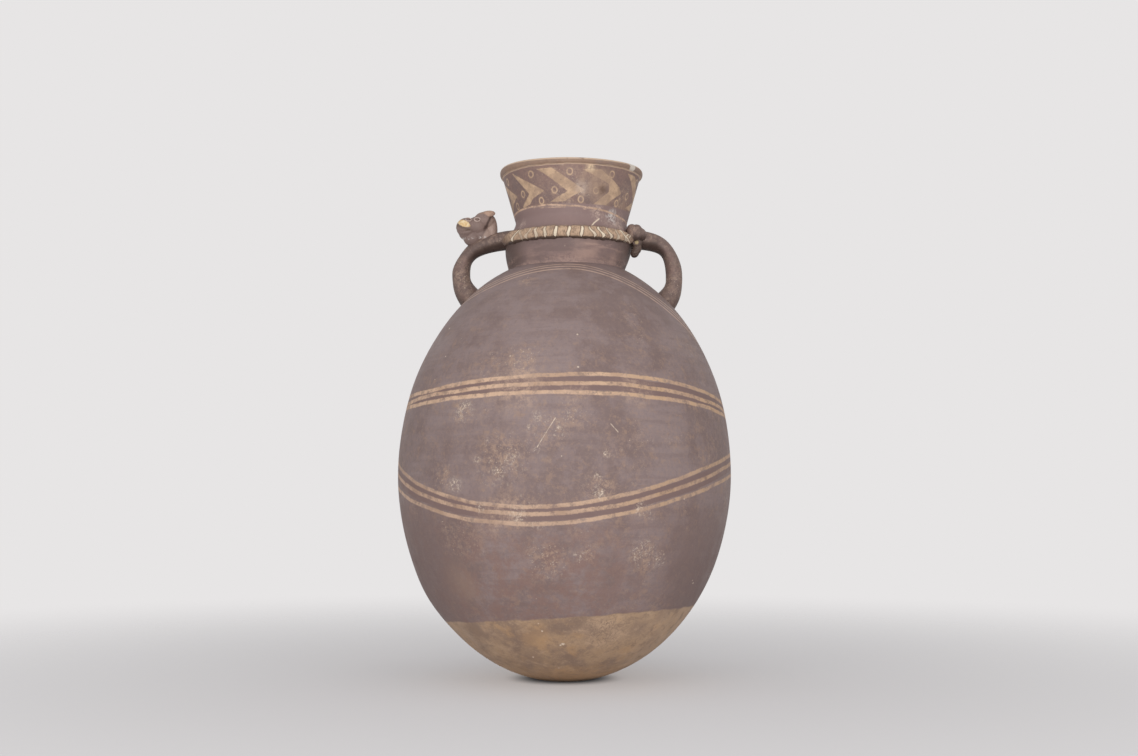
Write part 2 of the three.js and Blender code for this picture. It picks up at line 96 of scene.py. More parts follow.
class Finish:
    """One surface finish. Each method adds nodes and gives back the socket that they end in.
    Lengths are in millimetres, measured from the centre of the jar's foot."""

    def __init__(self, name):
        self.material = bpy.data.materials.new(name)
        self.material.use_nodes = True
        self.tree = self.material.node_tree
        self.tree.nodes.clear()
        place = self.add("ShaderNodeTexCoord").outputs["Object"]
        self.spot = self.vector("SCALE", {0: place, "Scale": 1 / MM})
        self.x, self.y, self.z = self.add("ShaderNodeSeparateXYZ", {0: self.spot}).outputs

    def add(self, kind, inputs=None, **settings):
        return add_node(self.tree, kind, inputs, **settings)

    def vector(self, operation, inputs, output="Vector"):
        return self.add("ShaderNodeVectorMath", inputs, operation=operation).outputs[output]

    def calc(self, operation, *values):
        return self.add("ShaderNodeMath", dict(enumerate(values)), operation=operation).outputs[0]

    def times(self, value, factor):
        return self.calc("MULTIPLY", value, factor)

    def off_from(self, value, middle):
        """How far a value lies from a middle one, to either side."""
        return self.calc("ABSOLUTE", self.calc("SUBTRACT", value, middle))

    def noted(self, name):
        """A number that was noted on the corners of the piece."""
        return self.add("ShaderNodeAttribute", attribute_name=name).outputs["Fac"]

    def ramp(self, value, start, end, low=0.0, high=1.0):
        """Goes smoothly from low to high as the value goes from start to end."""
        inputs = {"Value": value, "From Min": start, "From Max": end, "To Min": low, "To Max": high}
        node = self.add("ShaderNodeMapRange", inputs, interpolation_type="SMOOTHSTEP")
        return node.outputs["Result"]

    def rescaled(self, scale, shift):
        """The spot on a scale of its own, moved along by shift."""
        return self.vector("MULTIPLY_ADD", {0: self.spot, 1: scale, 2: (shift, 0, 0)})

    def noise(self, size, detail=3.0, roughness=0.55, stretch=(1, 1, 1), shift=0.0):
        """Soft clouds about as large as size, drawn out where the stretch is under 1."""
        place = self.rescaled([part / size for part in stretch], shift)
        inputs = {"Vector": place, "Scale": 1, "Detail": detail, "Roughness": roughness}
        return self.add("ShaderNodeTexNoise", inputs).outputs["Fac"]

    def specks(self, spacing, radius, share, shift=0.0):
        """Small round marks, one in some of the cells of a loose net."""
        place = self.rescaled([1 / spacing] * 3, shift)
        cell = self.add("ShaderNodeTexVoronoi", {"Vector": place, "Scale": 1})
        pick = self.add("ShaderNodeSeparateColor", {0: cell.outputs["Color"]}).outputs
        reach = self.times(pick[1], radius / spacing)
        near = self.ramp(self.calc("DIVIDE", cell.outputs["Distance"], reach), 1.0, 0.55)
        return self.times(near, self.calc("LESS_THAN", pick[0], share))

    def tilted(self, level, along_x, along_y):
        """The height of a tilted plane."""
        height = self.calc("MULTIPLY_ADD", self.x, along_x, level)
        return self.calc("MULTIPLY_ADD", self.y, along_y, height)

    def measure(self, along_x, along_y, along_z, start):
        """A number that grows evenly along each axis."""
        return self.calc("MULTIPLY_ADD", self.z, along_z, self.tilted(start, along_x, along_y))

    def hairs(self, size, width, shift=0.0):
        """Fine wandering scratches."""
        cloud = self.noise(size, detail=4, roughness=0.6, shift=shift)
        return self.ramp(self.off_from(cloud, 0.5), width, width * 0.3)

    def near(self, place, radius, ragged=0.0, reach=0.5):
        """A soft round patch at a place, with its edge broken up."""
        off = self.vector("DISTANCE", {0: self.spot, 1: place}, "Value")
        if ragged:
            cloud = self.noise(radius * 0.7, detail=6, roughness=0.65, shift=place[0])
            off = self.calc("MULTIPLY_ADD", self.calc("SUBTRACT", cloud, 0.5), ragged * radius, off)
        return self.ramp(off, radius, radius * reach)

    def stroke(self, start, end, width, flat=(1, 1, 1)):
        """A straight scratch from one place to another, drawn flat along an axis set to 0."""
        along = (Vector(end) - Vector(start)) * Vector(flat)
        step = self.vector("SUBTRACT", {0: self.spot, 1: start})
        step = self.vector("MULTIPLY", {0: step, 1: flat})
        share = self.vector("DOT_PRODUCT", {0: step, 1: along / along.length_squared}, "Value")
        kept = self.add("ShaderNodeMath", {0: share, 1: 0.0}, operation="ADD", use_clamp=True)
        foot = self.vector("SCALE", {0: along, "Scale": kept.outputs[0]})
        off = self.vector("DISTANCE", {0: step, 1: foot}, "Value")
        return self.ramp(off, width / 2 + 0.25, width / 2 - 0.25)

    def blend(self, share, under, over):
        """Lays one colour over another where the share says."""
        return self.add("ShaderNodeMix", {0: share, 6: under, 7: over}, data_type="RGBA").outputs[2]

    def clay(self, colour, roughness, relief):
        """Ends the finish: a clay surface with this colour, roughness and relief in millimetres."""
        bump = self.add("ShaderNodeBump", {"Height": relief, "Distance": MM, "Strength": 1.0})
        inputs = {"Base Color": colour, "Roughness": roughness, "Normal": bump.outputs[0]}
        shader = self.add("ShaderNodeBsdfPrincipled", inputs)
        shader.inputs["Specular IOR Level"].default_value = CLAY_SHEEN
        self.add("ShaderNodeOutputMaterial", {0: shader.outputs[0]})
        return self.material


CLAY_SHEEN = 0.34
FLOOR_COLOUR = tint(240, 237, 238)
CONTACT_SHADOW_COLOUR = tint(92, 84, 80)
BACKGROUND_COLOUR = tint(231, 229, 229)
ROOM_COLOUR = tint(250, 250, 252)
ROOM_STRENGTH = 0.4

bpy.ops.object.select_all(action="DESELECT")
bpy.ops.mesh.primitive_circle_add(vertices=96, radius=FLOOR_RADIUS, fill_type="NGON")
floor = bpy.context.object
floor.name = "floor"
paper = Finish("floor_paper")
from_middle = paper.vector("LENGTH", {0: paper.spot}, "Value")
fade = paper.ramp(from_middle, FADE_START_MM, FADE_END_MM, FADE_AT_JAR)
# Painted contact shadow: the paper darkens close round the foot and turns nearly solid there, so the
# dark shows.
painted_contact_shadow = paper.ramp(from_middle, CONTACT_SHADOW_FROM_MM, CONTACT_SHADOW_TO_MM, 1, 0)
paper_tone = paper.blend(painted_contact_shadow, FLOOR_COLOUR, CONTACT_SHADOW_COLOUR)
fade = paper.times(fade, paper.ramp(from_middle, CONTACT_SHADOW_FROM_MM, CONTACT_SHADOW_TO_MM, 0.1, 1))
matt = paper.add("ShaderNodeBsdfDiffuse", {"Color": paper_tone}).outputs[0]
clear = paper.add("ShaderNodeBsdfTransparent").outputs[0]
faded = paper.add("ShaderNodeMixShader", {0: fade, 1: matt, 2: clear}).outputs[0]
paper.add("ShaderNodeOutputMaterial", {0: faded})
floor.data.materials.append(paper.material)

world = bpy.data.worlds.new("studio")
bpy.context.scene.world = world
world.use_nodes = True
room = world.node_tree
room.nodes.clear()
seen = add_node(room, "ShaderNodeBackground", {"Color": BACKGROUND_COLOUR}).outputs[0]
inputs = {"Color": ROOM_COLOUR, "Strength": ROOM_STRENGTH}
around = add_node(room, "ShaderNodeBackground", inputs).outputs[0]
rays = add_node(room, "ShaderNodeLightPath").outputs
inputs = {0: rays["Is Camera Ray"], 1: rays["Is Glossy Ray"]}
either = add_node(room, "ShaderNodeMath", inputs, operation="MAXIMUM").outputs[0]
room_light = add_node(room, "ShaderNodeMixShader", {0: either, 1: around, 2: seen}).outputs[0]
add_node(room, "ShaderNodeOutputWorld", {0: room_light})

# Each lamp: name, place, turn, size and watts.
LAMPS = [
    ("lamp_over", (0.0, -0.5, 1.75), (radians(16), 0, 0), 1.5, 3),
    ("lamp_front", (0.0, -2.2, 0.2), (radians(90), 0, 0), 1.0, 19),
    ("lamp_left", (-1.2, -1.6, 0.6), (radians(78), 0, radians(-37)), 1.0, 4),
    ("lamp_right", (1.2, -1.6, 0.6), (radians(78), 0, radians(37)), 1.0, 3),
]
for lamp_name, lamp_place, lamp_turn, lamp_size, lamp_watts in LAMPS:
    bpy.ops.object.light_add(type="AREA", location=lamp_place, rotation=lamp_turn)
    lamp = bpy.context.object
    lamp.name = lamp_name
    lamp.data.size = lamp_size
    lamp.data.energy = lamp_watts

# Wall. The jar's body is one thick clay wall, raised in coils on a small flat foot, scraped thin
# and smoothed by hand. The coils meet level, and their seams are rubbed away.
BELLY_RADIUS = 149
UPPER_RISE = 198
LOWER_DROP = 183
FOOT_RADIUS = 24
BELLY_WALL = 7
BASE_WALL = 10
WALL_SIDES = 240
WALL_ROW = 4
BOWL_ROW = 1.2
CAVITY_ROW = 3
DOME_BOTTOM_Z = 306
NECK_OFFSET = 6
LIP_HEIGHT = 7
THROAT_RISE = 44
CREASE_DEGREES = 40

# The upper wall's lean to the right and the swell of the lower left wall: height, spread and size.
UPPER_LEAN = (324, 52, 1.5)
LOWER_SWELL = (72, 26, 2.2)

# How far the rim dips to the front and to the right, and how far its two sides rise.
RIM_TILT_Y = 0.026
RIM_TILT_X = 0.012
RIM_BOW = 0.00014
belly_z = LOWER_DROP * sqrt(1 - (FOOT_RADIUS / BELLY_RADIUS) ** 2)
neck_seat_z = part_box("shoulder_dome")[1].z / MM
throat_z = neck_seat_z + THROAT_RISE
lip_bottom_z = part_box("rim_lip")[0].z / MM


def wall_radius(z, inner=False):
    """The body's radius at a height: two half ellipses that meet at the belly."""
    rise = UPPER_RISE if z >= belly_z else LOWER_DROP
    radius = BELLY_RADIUS
    if inner:
        rise -= BELLY_WALL if z >= belly_z else BASE_WALL
        radius -= BELLY_WALL
    return radius * sqrt(max(0, 1 - ((z - belly_z) / rise) ** 2))


def neck_offset(z):
    """The neck leans a little off the belly's axis, as on most hand-built jars."""
    share = min(1, max(0, (z - DOME_BOTTOM_Z) / (throat_z - DOME_BOTTOM_Z)))
    return NECK_OFFSET * share**2


def bell(z, place, spread, size):
    """A smooth rise to a size at one height, dying away above and below it."""
    return size * exp(-(((z - place) / spread) ** 2))


def in_mm(place):
    """A place in metres, told in millimetres."""
    return [part / MM for part in place]


def hand_shaped(piece):
    """Leans the neck, bows the rim and leaves the shallow waves of a wall raised by hand."""
    for corner in piece.data.vertices:
        x, y, z = in_mm(corner.co)
        radius = hypot(x, y)
        if radius > 1:
            angle = atan2(y, x)
            firm = min(1, z / 40) * min(1, radius / 60)
            wave = 0.32 * sin(2 * angle - z / 47 + 0.6) + 0.26 * sin(3 * angle + z / 31)
            wave += 0.12 * sin(7 * angle + z / 13 + 2)
            wave = wave * firm + bell(z, *LOWER_SWELL) * max(0, -cos(angle)) ** 2
            x += wave * x / radius
            y += wave * y / radius
            if z < neck_seat_z:
                x += bell(z, *UPPER_LEAN) * min(1, (neck_seat_z - z) / 30)
        rim_share = max(0, (z - lip_bottom_z) / LIP_HEIGHT)
        wave = RIM_TILT_Y * y - RIM_TILT_X * x + RIM_BOW * x * x
        corner.co = Vector((x + neck_offset(z), y, z + wave * rim_share)) * MM


def rows_between(low, high, row):
    """Level rows from low to high, no further apart than row."""
    count = max(1, ceil(abs(high - low) / row))
    return [low + (high - low) * step / count for step in range(count + 1)]


def opened(name):
    """Names the new primitive, fixes it where it stands and opens it for editing, all selected."""
    piece = bpy.context.object
    piece.name = name
    piece.data.name = name
    bpy.ops.object.transform_apply(location=True, rotation=True, scale=True)
    bpy.ops.object.mode_set(mode="EDIT")
    bpy.ops.mesh.select_all(action="SELECT")
    return piece


def turned(name, outline, sides=WALL_SIDES):
    """Draws the outline (radius, height) edge by edge and spins it once round the jar's axis."""
    bpy.ops.object.select_all(action="DESELECT")
    first_radius, first_z = outline[0]
    bpy.ops.mesh.primitive_plane_add(size=MM, location=(first_radius * MM, 0, first_z * MM))
    piece = opened(name)
    bpy.ops.mesh.merge(type="CENTER")
    for (radius, z), (next_radius, next_z) in zip(outline, outline[1:]):
        stride = ((next_radius - radius) * MM, 0, (next_z - z) * MM)
        bpy.ops.mesh.extrude_vertices_move(TRANSFORM_OT_translate={"value": stride})
    bpy.ops.mesh.select_all(action="SELECT")
    bpy.ops.mesh.spin(steps=sides, angle=tau, center=(0, 0, 0), axis=(0, 0, 1))
    bpy.ops.mesh.select_all(action="SELECT")
    bpy.ops.mesh.remove_doubles(threshold=0.02 * MM)
    bpy.ops.mesh.normals_make_consistent(inside=False)
    bpy.ops.object.mode_set(mode="OBJECT")
    hand_shaped(piece)
    return piece


def finished(piece, material, slot, *nodes):
    """Smooths the piece, gives it its finish and puts it in the place of its CAD nodes."""
    bpy.ops.object.select_all(action="DESELECT")
    piece.select_set(True)
    bpy.context.view_layer.objects.active = piece
    bpy.ops.object.shade_smooth_by_angle(angle=radians(CREASE_DEGREES))
    piece.data.materials.clear()
    piece.data.materials.append(material)
    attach(piece, "root")
    if nodes:
        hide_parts(*nodes)


SLIP = tint(150, 132, 130)
SLIP_DARK = tint(126, 106, 102)
SLIP_WARM = tint(170, 141, 122)
SLIP_RED = tint(142, 114, 106)
SPECK = tint(232, 212, 190)
SMUDGE_TONE = tint(196, 166, 146)
CLAY = tint(180, 150, 122)
CLAY_GREY = tint(146, 122, 106)
CLAY_OCHRE = tint(190, 153, 116)
CLAY_PALE = tint(202, 171, 143)
LINE_PAINT = tint(228, 193, 165)
LINE_WORN = tint(198, 164, 138)
LINE_OCHRE = tint(204, 167, 131)
SLIP_EDGE = (57.8, 0.064, -0.042)

# Each painted line has a height with a tilt and a wave: level, along x, along y, x times x and
# x times y, where x and y are shares of the belly's radius. The last two stand in for along y
# and x times y on the back.
BELLY_LINES = [
    (249.4, -4.8, -11.0, -7.1, -10.0, -5.1, -5.8),
    (244.7, -4.5, -8.1, -7.8, -5.8, -8.1, -5.8),
    (240.3, -4.6, -4.5, -6.5, -5.1, -11.1, -5.8),
    (174.4, 1.8, 20.9, 24.1, -12.8, 18.0, -8.8),
    (166.0, 3.7, 18.4, 23.3, -8.8, 18.4, -8.8),
    (157.5, 4.0, 17.8, 21.0, -9.1, 18.8, -8.8),
]
LOWER_BAND_COVER = 0.8
LINE_OCHRE_SHARE = 0.75
LINE_WIDTH = 3.3

# Marks of wear, each with its place and radius: flecks and crumbs where the slip's surface broke
# away, smudges of pale dust over it, and scuffs that rub it thin.
FLECKED = [
    ((62, -126, 118), 15), ((78, -113, 110), 10), ((-20, -141, 141), 9), ((12, -139, 112), 7),
]
CRUMBS = [
    ((-82, -118, 231), 13), ((-27, -144, 215), 5), ((-22, -143, 224), 6), ((-43, -142, 192), 9),
    ((-52, -140, 181), 9), ((-90, -119, 170), 10), ((-22, -147, 198), 4), ((34, -145, 195), 5),
    ((27, -146, 177), 5), ((-37, -142, 146), 11), ((62, -133, 151), 9), ((-68, -131, 152), 7),
    ((29, -146, 164), 9), ((-4, -147, 216), 3), ((-64, -134, 205), 5), ((-70, -130, 190), 5),
]
SMUDGES = [
    ((-36, -134, 252), 34), ((-51, -137, 147), 28), ((60, -125, 248), 22), ((8, -139, 243), 16),
]
SCUFFS = [
    ((-13, -146, 216), 26), ((-84, -117, 231), 20), ((-51, -140, 191), 36), ((7, -145, 227), 20),
    ((28, -146, 166), 22), ((-34, -143, 151), 22), ((66, -132, 153), 20), ((66, -121, 112), 21),
    ((20, -138, 115), 12), ((-13, -137, 110), 26), ((-34, -129, 269), 26), ((-100, -111, 176), 18),
    ((110, 92, 210), 40), ((-40, 138, 150), 46), ((-126, 60, 140), 34), ((40, 120, 290), 34),
]


def slip_ground(paint, slip=SLIP, dark=SLIP_DARK, warm=SLIP_WARM, scuffs=(), stains_and_shade=(), flecked=()):
    """Purple-brown slip, brushed round the jar, mottled, rubbed and scuffed, with stains and painted
    shade.
    """
    broad = paint.noise(62, detail=3, shift=3.1)
    cloud = paint.noise(17, detail=8, roughness=0.68)
    brushed = paint.noise(24, detail=6, roughness=0.62, stretch=(0.3, 0.3, 3.6), shift=7.7)
    rubbed = paint.noise(11, detail=8, roughness=0.74, shift=1.3)
    grain = paint.noise(3, detail=5, roughness=0.72)
    colour = paint.blend(paint.ramp(broad, 0.4, 0.6, 0, 0.8), slip, dark)
    colour = paint.blend(paint.ramp(brushed, 0.42, 0.6, 0, 0.42), colour, dark)
    colour = paint.blend(paint.ramp(cloud, 0.46, 0.62, 0, 0.65), colour, slip)
    calm = paint.ramp(paint.z, 330, 265, 0.35, 1)
    rubbed = paint.times(paint.ramp(rubbed, 0.54, 0.64, 0, 0.5), calm)
    colour = paint.blend(rubbed, colour, warm)
    grainy = paint.times(paint.ramp(grain, 0.48, 0.72, 0, 0.42), calm)
    colour = paint.blend(grainy, colour, warm)
    colour = paint.blend(paint.ramp(grain, 0.5, 0.28, 0, 0.45), colour, dark)
    # Tones laid on over the slip: real stains, and painted shade where a caller gives it.
    for share, tone in stains_and_shade:
        colour = paint.blend(share, colour, tone)
    scuffed = paint.ramp(paint.noise(46, detail=3, shift=5.2), 0.54, 0.68, 0.08, 0.45)
    for place, radius in scuffs:
        scuffed = paint.calc("MAXIMUM", scuffed, paint.near(place, radius, ragged=0.8, reach=0.1))
    haze = paint.ramp(paint.noise(5.5, detail=10, roughness=0.86, shift=4.6), 0.47, 0.58, 0, 0.8)
    haze_tone = [0.6 * worn + 0.4 * pale for worn, pale in zip(warm, SMUDGE_TONE)]
    colour = paint.blend(paint.times(haze, scuffed), colour, haze_tone)
    veins = paint.times(paint.hairs(5, 0.016, shift=2.2), 0.7)
    short = paint.ramp(paint.noise(3.4, detail=2, shift=8.2), 0.54, 0.62)
    flecks = paint.specks(2.3, 0.55, 0.55)
    marks = paint.times(paint.calc("MAXIMUM", paint.times(veins, short), flecks), scuffed)
    pits = paint.times(paint.specks(11, 1.25, 0.28, shift=2.2), 0.85)
    marks = paint.calc("MAXIMUM", marks, pits)
    colour = paint.blend(paint.times(marks, 0.85), colour, SPECK)
    for place, radius in flecked:
        crumbs = paint.ramp(paint.noise(2.0, detail=8, roughness=0.85, shift=place[0]), 0.53, 0.58)
        crumbs = paint.times(crumbs, paint.near(place, radius, ragged=1.4, reach=0.2))
        colour = paint.blend(paint.times(crumbs, 0.8), colour, SPECK)
    relief = paint.times(grain, 0.06)
    relief = paint.calc("MULTIPLY_ADD", brushed, 0.22, relief)
    relief = paint.calc("MULTIPLY_ADD", marks, -0.1, relief)
    roughness = paint.ramp(cloud, 0.3, 0.7, 0.52, 0.74)
    return colour, roughness, relief


CRAZED_PATCH = (34, -98, 48)
FACET_LINE = ((4, -54, 9.6), (36, -42, 10.4))

# Small chips in the bare clay: place and radius.
CHIPS = [
    ((-1, -95, 39.7), 1.8), ((-3, -94, 38.6), 1.1), ((-26, -77, 27), 1.0),
    ((-21, -108, 58), 1.2), ((-18, -104, 51), 1.0),
]

# Stains of the bare clay: place, radius, raggedness, reach, strength and tone.
CLAY_STAINS = [
    ((-24, -96, 45), 20, 1.2, 0.1, 0.6, CLAY_OCHRE),
    ((-27, -77, 29), 15, 1.3, 0.1, 0.6, CLAY_GREY),
    ((-76, -74, 48), 13, 1.2, 0.5, 0.7, CLAY_GREY),
]


def scraped_marks(paint):
    """Scraping marks and grain of the clay, which show through the slip, with their relief."""
    scraped = paint.noise(13, detail=9, roughness=0.74, stretch=(0.8, 0.8, 1.5), shift=4.4)
    grain = paint.noise(1.8, detail=4, roughness=0.7, shift=2.8)
    relief = paint.calc("MULTIPLY_ADD", scraped, 0.35, paint.times(grain, 0.16))
    return scraped, grain, relief


def bare_ground(paint):
    """Bare fired clay, scraped, crazed and patchily stained."""
    scraped, grain, relief = scraped_marks(paint)
    broad = paint.noise(30, detail=5, roughness=0.6, shift=9.1)
    ochre = paint.noise(22, detail=5, roughness=0.6, shift=5.5)
    colour = paint.blend(paint.ramp(broad, 0.4, 0.66), CLAY, CLAY_GREY)
    colour = paint.blend(paint.ramp(ochre, 0.5, 0.68, 0, 0.8), colour, CLAY_OCHRE)
    colour = paint.blend(paint.ramp(scraped, 0.5, 0.7, 0, 0.7), colour, CLAY_PALE)
    colour = paint.blend(paint.ramp(grain, 0.52, 0.72, 0, 0.5), colour, CLAY_PALE)
    colour = paint.blend(paint.ramp(grain, 0.44, 0.27, 0, 0.6), colour, CLAY_GREY)
    side = paint.ramp(paint.calc("ABSOLUTE", paint.x), 35, 85, 0, 0.4)
    colour = paint.blend(side, colour, CLAY_PALE)
    stained = paint.noise(10, detail=9, roughness=0.78, shift=7.3)
    colour = paint.blend(paint.ramp(stained, 0.5, 0.62, 0, 0.7), colour, CLAY_GREY)
    foot = paint.times(paint.ramp(paint.z, 22, 4), paint.ramp(ochre, 0.3, 0.5, 0.2, 0.7))
    colour = paint.blend(foot, colour, CLAY_OCHRE)
    for place, radius, ragged, reach, strength, tone in CLAY_STAINS:
        stain = paint.near(place, radius, ragged, reach)
        colour = paint.blend(paint.times(stain, strength), colour, tone)
    for place, radius in CHIPS:
        colour = paint.blend(paint.near(place, radius, ragged=1.2), colour, SPECK)
    crazed = paint.near(CRAZED_PATCH, 34, ragged=0.9, reach=0.1)
    paled = paint.times(crazed, paint.ramp(scraped, 0.4, 0.6, 0.2, 0.75))
    colour = paint.blend(paled, colour, CLAY_PALE)
    cracks = paint.times(paint.hairs(4, 0.03, shift=1.2), crazed)
    colour = paint.blend(cracks, colour, CLAY_GREY)
    marks = paint.specks(11, 1.0, 0.35, shift=6.5)
    colour = paint.blend(paint.times(marks, 0.7), colour, SPECK)
    # A shallow groove along the worn facet, with painted shadow in it.
    facet_groove_and_shadow = paint.stroke(*FACET_LINE, 1.2)
    colour = paint.blend(paint.times(facet_groove_and_shadow, 0.5), colour, CLAY_GREY)
    return colour, paint.calc("MULTIPLY_ADD", facet_groove_and_shadow, -0.4, relief)


def painted_line(paint, line, width=LINE_WIDTH):
    """How much of a spot is covered by one painted line round the belly."""
    level, along_x, front_y, along_xx, front_xy, back_y, back_xy = line
    x = paint.calc("DIVIDE", paint.x, BELLY_RADIUS)
    y = paint.calc("DIVIDE", paint.y, BELLY_RADIUS)
    height = paint.calc("MULTIPLY_ADD", x, along_x, level)
    height = paint.calc("MULTIPLY_ADD", paint.times(x, x), along_xx, height)
    for limit, along_y, along_xy in (("MINIMUM", front_y, front_xy), ("MAXIMUM", back_y, back_xy)):
        half = paint.calc(limit, y, 0)
        height = paint.calc("MULTIPLY_ADD", half, along_y, height)
        height = paint.calc("MULTIPLY_ADD", paint.times(x, half), along_xy, height)
    sway = paint.noise(38, detail=2, shift=level)
    height = paint.calc("MULTIPLY_ADD", sway, 3.4, height)
    height = paint.calc("SUBTRACT", height, 1.7)
    off = paint.off_from(paint.z, height)
    frayed = paint.noise(2.6, detail=4, roughness=0.7, shift=level)
    off = paint.calc("MULTIPLY_ADD", frayed, 1.6, off)
    off = paint.calc("SUBTRACT", off, 0.8)
    return paint.ramp(off, width / 2 + 0.5, width / 2 - 0.5)


def line_coat(paint, share, ground, ochre=0.0):
    """Lays worn cream line paint over the ground where the share says, more ochre to the right."""
    wear = paint.noise(7, detail=9, roughness=0.8, shift=8.8)
    tone = paint.noise(26, detail=5, roughness=0.62, shift=4.1)
    paint_tone = paint.blend(paint.ramp(tone, 0.42, 0.6), LINE_PAINT, LINE_WORN)
    to_the_right = paint.ramp(paint.x, 0, 80, 0.2 * ochre, ochre)
    golden = paint.times(to_the_right, paint.ramp(tone, 0.56, 0.44))
    paint_tone = paint.blend(golden, paint_tone, LINE_OCHRE)
    cover = paint.times(share, paint.ramp(wear, 0.38, 0.53, 0.3, 0.97))
    return paint.blend(cover, ground, paint_tone)


OVAL_LINES = (0, 4, 8)
OVAL_CENTRE_X = 13.5
OVAL_HALF_X = 102
OVAL_HALF_Y = 59
OVAL_LINE_WIDTH = 1.4
THIN_LINE = tint(204, 174, 156)


def oval_lines(paint, ground):
    """Three thin lines in one long squared oval, round the neck and past both handle roots."""
    share_x = paint.calc("DIVIDE", paint.calc("SUBTRACT", paint.x, OVAL_CENTRE_X), OVAL_HALF_X)
    share_x = paint.calc("ABSOLUTE", share_x)
    share_y = paint.calc("DIVIDE", paint.calc("ABSOLUTE", paint.y), OVAL_HALF_Y)
    square_x = paint.times(share_x, share_x)
    inside = paint.calc("MULTIPLY_ADD", square_x, share_x, paint.times(share_y, share_y))
    steep_x = paint.times(square_x, 3 / OVAL_HALF_X)
    steep_y = paint.times(share_y, 2 / OVAL_HALF_Y)
    steep = paint.calc("MULTIPLY_ADD", steep_x, steep_x, paint.times(steep_y, steep_y))
    past = paint.calc("DIVIDE", paint.calc("SUBTRACT", inside, 1), paint.calc("SQRT", steep))
    past = paint.calc("MULTIPLY_ADD", paint.noise(26, detail=2), 1.2, past)
    worn = paint.ramp(paint.noise(8, detail=5, roughness=0.7, shift=3.5), 0.34, 0.52, 0.35, 0.9)
    for place in OVAL_LINES:
        off = paint.off_from(past, place + 0.6)
        share = paint.ramp(off, OVAL_LINE_WIDTH * 0.75, OVAL_LINE_WIDTH * 0.3)
        ground = paint.blend(paint.times(share, worn), ground, THIN_LINE)
    return ground


def crumbled(paint, ground):
    """Bright crumbs in clusters across the front, where the slip's surface broke away."""
    bitten = paint.ramp(paint.noise(7, detail=4, roughness=0.7, shift=5.9), 0.4, 0.54)
    crumbs = paint.ramp(paint.noise(2.2, detail=8, roughness=0.85, shift=6.6), 0.5, 0.56)
    spread = 0
    for place, radius in CRUMBS:
        spread = paint.calc("MAXIMUM", spread, paint.near(place, radius, reach=0.1))
    share = paint.times(spread, paint.times(bitten, crumbs))
    return paint.blend(paint.times(share, 0.9), ground, SPECK)


LONG_SCRATCHES = [
    ((-21.5, -146.8, 200), (-7, -145.4, 223.5), 0.7),
    ((37.7, -141.4, 219), (43.5, -140.7, 212.5), 0.8),
]
BETWEEN_LINES = tint(134, 111, 106)
BETWEEN_WIDTH = 12
TANNED_PATCH = (-84, -94, 92)


def wall_finish(name, lines):
    """The finish of the body's wall. Coils with lines are all slip; the others lie at the slip's
    lower edge, with bare clay below it."""
    paint = Finish(name)
    low = paint.ramp(paint.z, 180, 100, 0, 1)
    reddened = paint.ramp(paint.noise(14, detail=9, roughness=0.76, shift=6.3), 0.4, 0.6, 0, 0.85)
    reddened = paint.times(reddened, paint.ramp(paint.x, 75, 10, 0.35, 1))
    tanned = paint.near(TANNED_PATCH, 30, ragged=1.2, reach=0.1)
    # Painted shade on the lower wall, darker towards both sides.
    side = paint.ramp(paint.calc("ABSOLUTE", paint.x), 62, 120, 0, 0.9)
    stains_and_shade = [
        (paint.times(low, reddened), SLIP_RED),
        (paint.times(tanned, 0.5), SLIP_WARM),
        (paint.times(low, side), SLIP_DARK),
    ]
    colour, roughness, relief = slip_ground(paint, scuffs=SCUFFS, stains_and_shade=stains_and_shade, flecked=FLECKED)
    for start, end, width in LONG_SCRATCHES:
        scratch = paint.stroke(start, end, width)
        broken = paint.ramp(paint.noise(3, detail=3, shift=start[0]), 0.35, 0.55, 0.1, 0.9)
        colour = paint.blend(paint.times(scratch, broken), colour, SPECK)
    for line in lines[1::3]:
        colour = paint.blend(painted_line(paint, line, BETWEEN_WIDTH), colour, BETWEEN_LINES)
    for line in lines:
        share = painted_line(paint, line)
        if line in BELLY_LINES[3:]:
            share = paint.times(share, LOWER_BAND_COVER)
        colour = line_coat(paint, share, colour, LINE_OCHRE_SHARE)
    if lines == BELLY_LINES:
        colour = oval_lines(paint, colour)
    if lines:
        dust = paint.noise(6, detail=9, roughness=0.84, shift=1.8)
        dust = paint.ramp(dust, 0.45, 0.6, 0.05, 0.75)
        for place, radius in SMUDGES:
            smudge = paint.times(paint.near(place, radius, ragged=1.2, reach=0.1), dust)
            colour = paint.blend(smudge, colour, SMUDGE_TONE)
        colour = crumbled(paint, colour)
        relief = paint.calc("ADD", relief, scraped_marks(paint)[2])
        return paint.clay(colour, roughness, relief)
    edge = paint.tilted(*SLIP_EDGE)
    ragged = paint.noise(14, detail=6, roughness=0.6, shift=3.9)
    edge = paint.calc("MULTIPLY_ADD", ragged, 4.0, edge)
    above = paint.calc("SUBTRACT", paint.z, edge)
    slipped = paint.ramp(above, -3.0, -1.2)
    clay_colour, clay_relief = bare_ground(paint)
    colour = paint.blend(slipped, clay_colour, colour)
    thickness = paint.calc("MULTIPLY_ADD", slipped, 0.15, clay_relief)
    relief = paint.calc("ADD", relief, thickness)
    return paint.clay(colour, roughness, relief)


low_wall_finish = wall_finish("slip_and_bare_clay", [])
lower_belly_finish = wall_finish("slip_lower_lines", BELLY_LINES[3:])
upper_belly_finish = wall_finish("slip_upper_lines", BELLY_LINES)

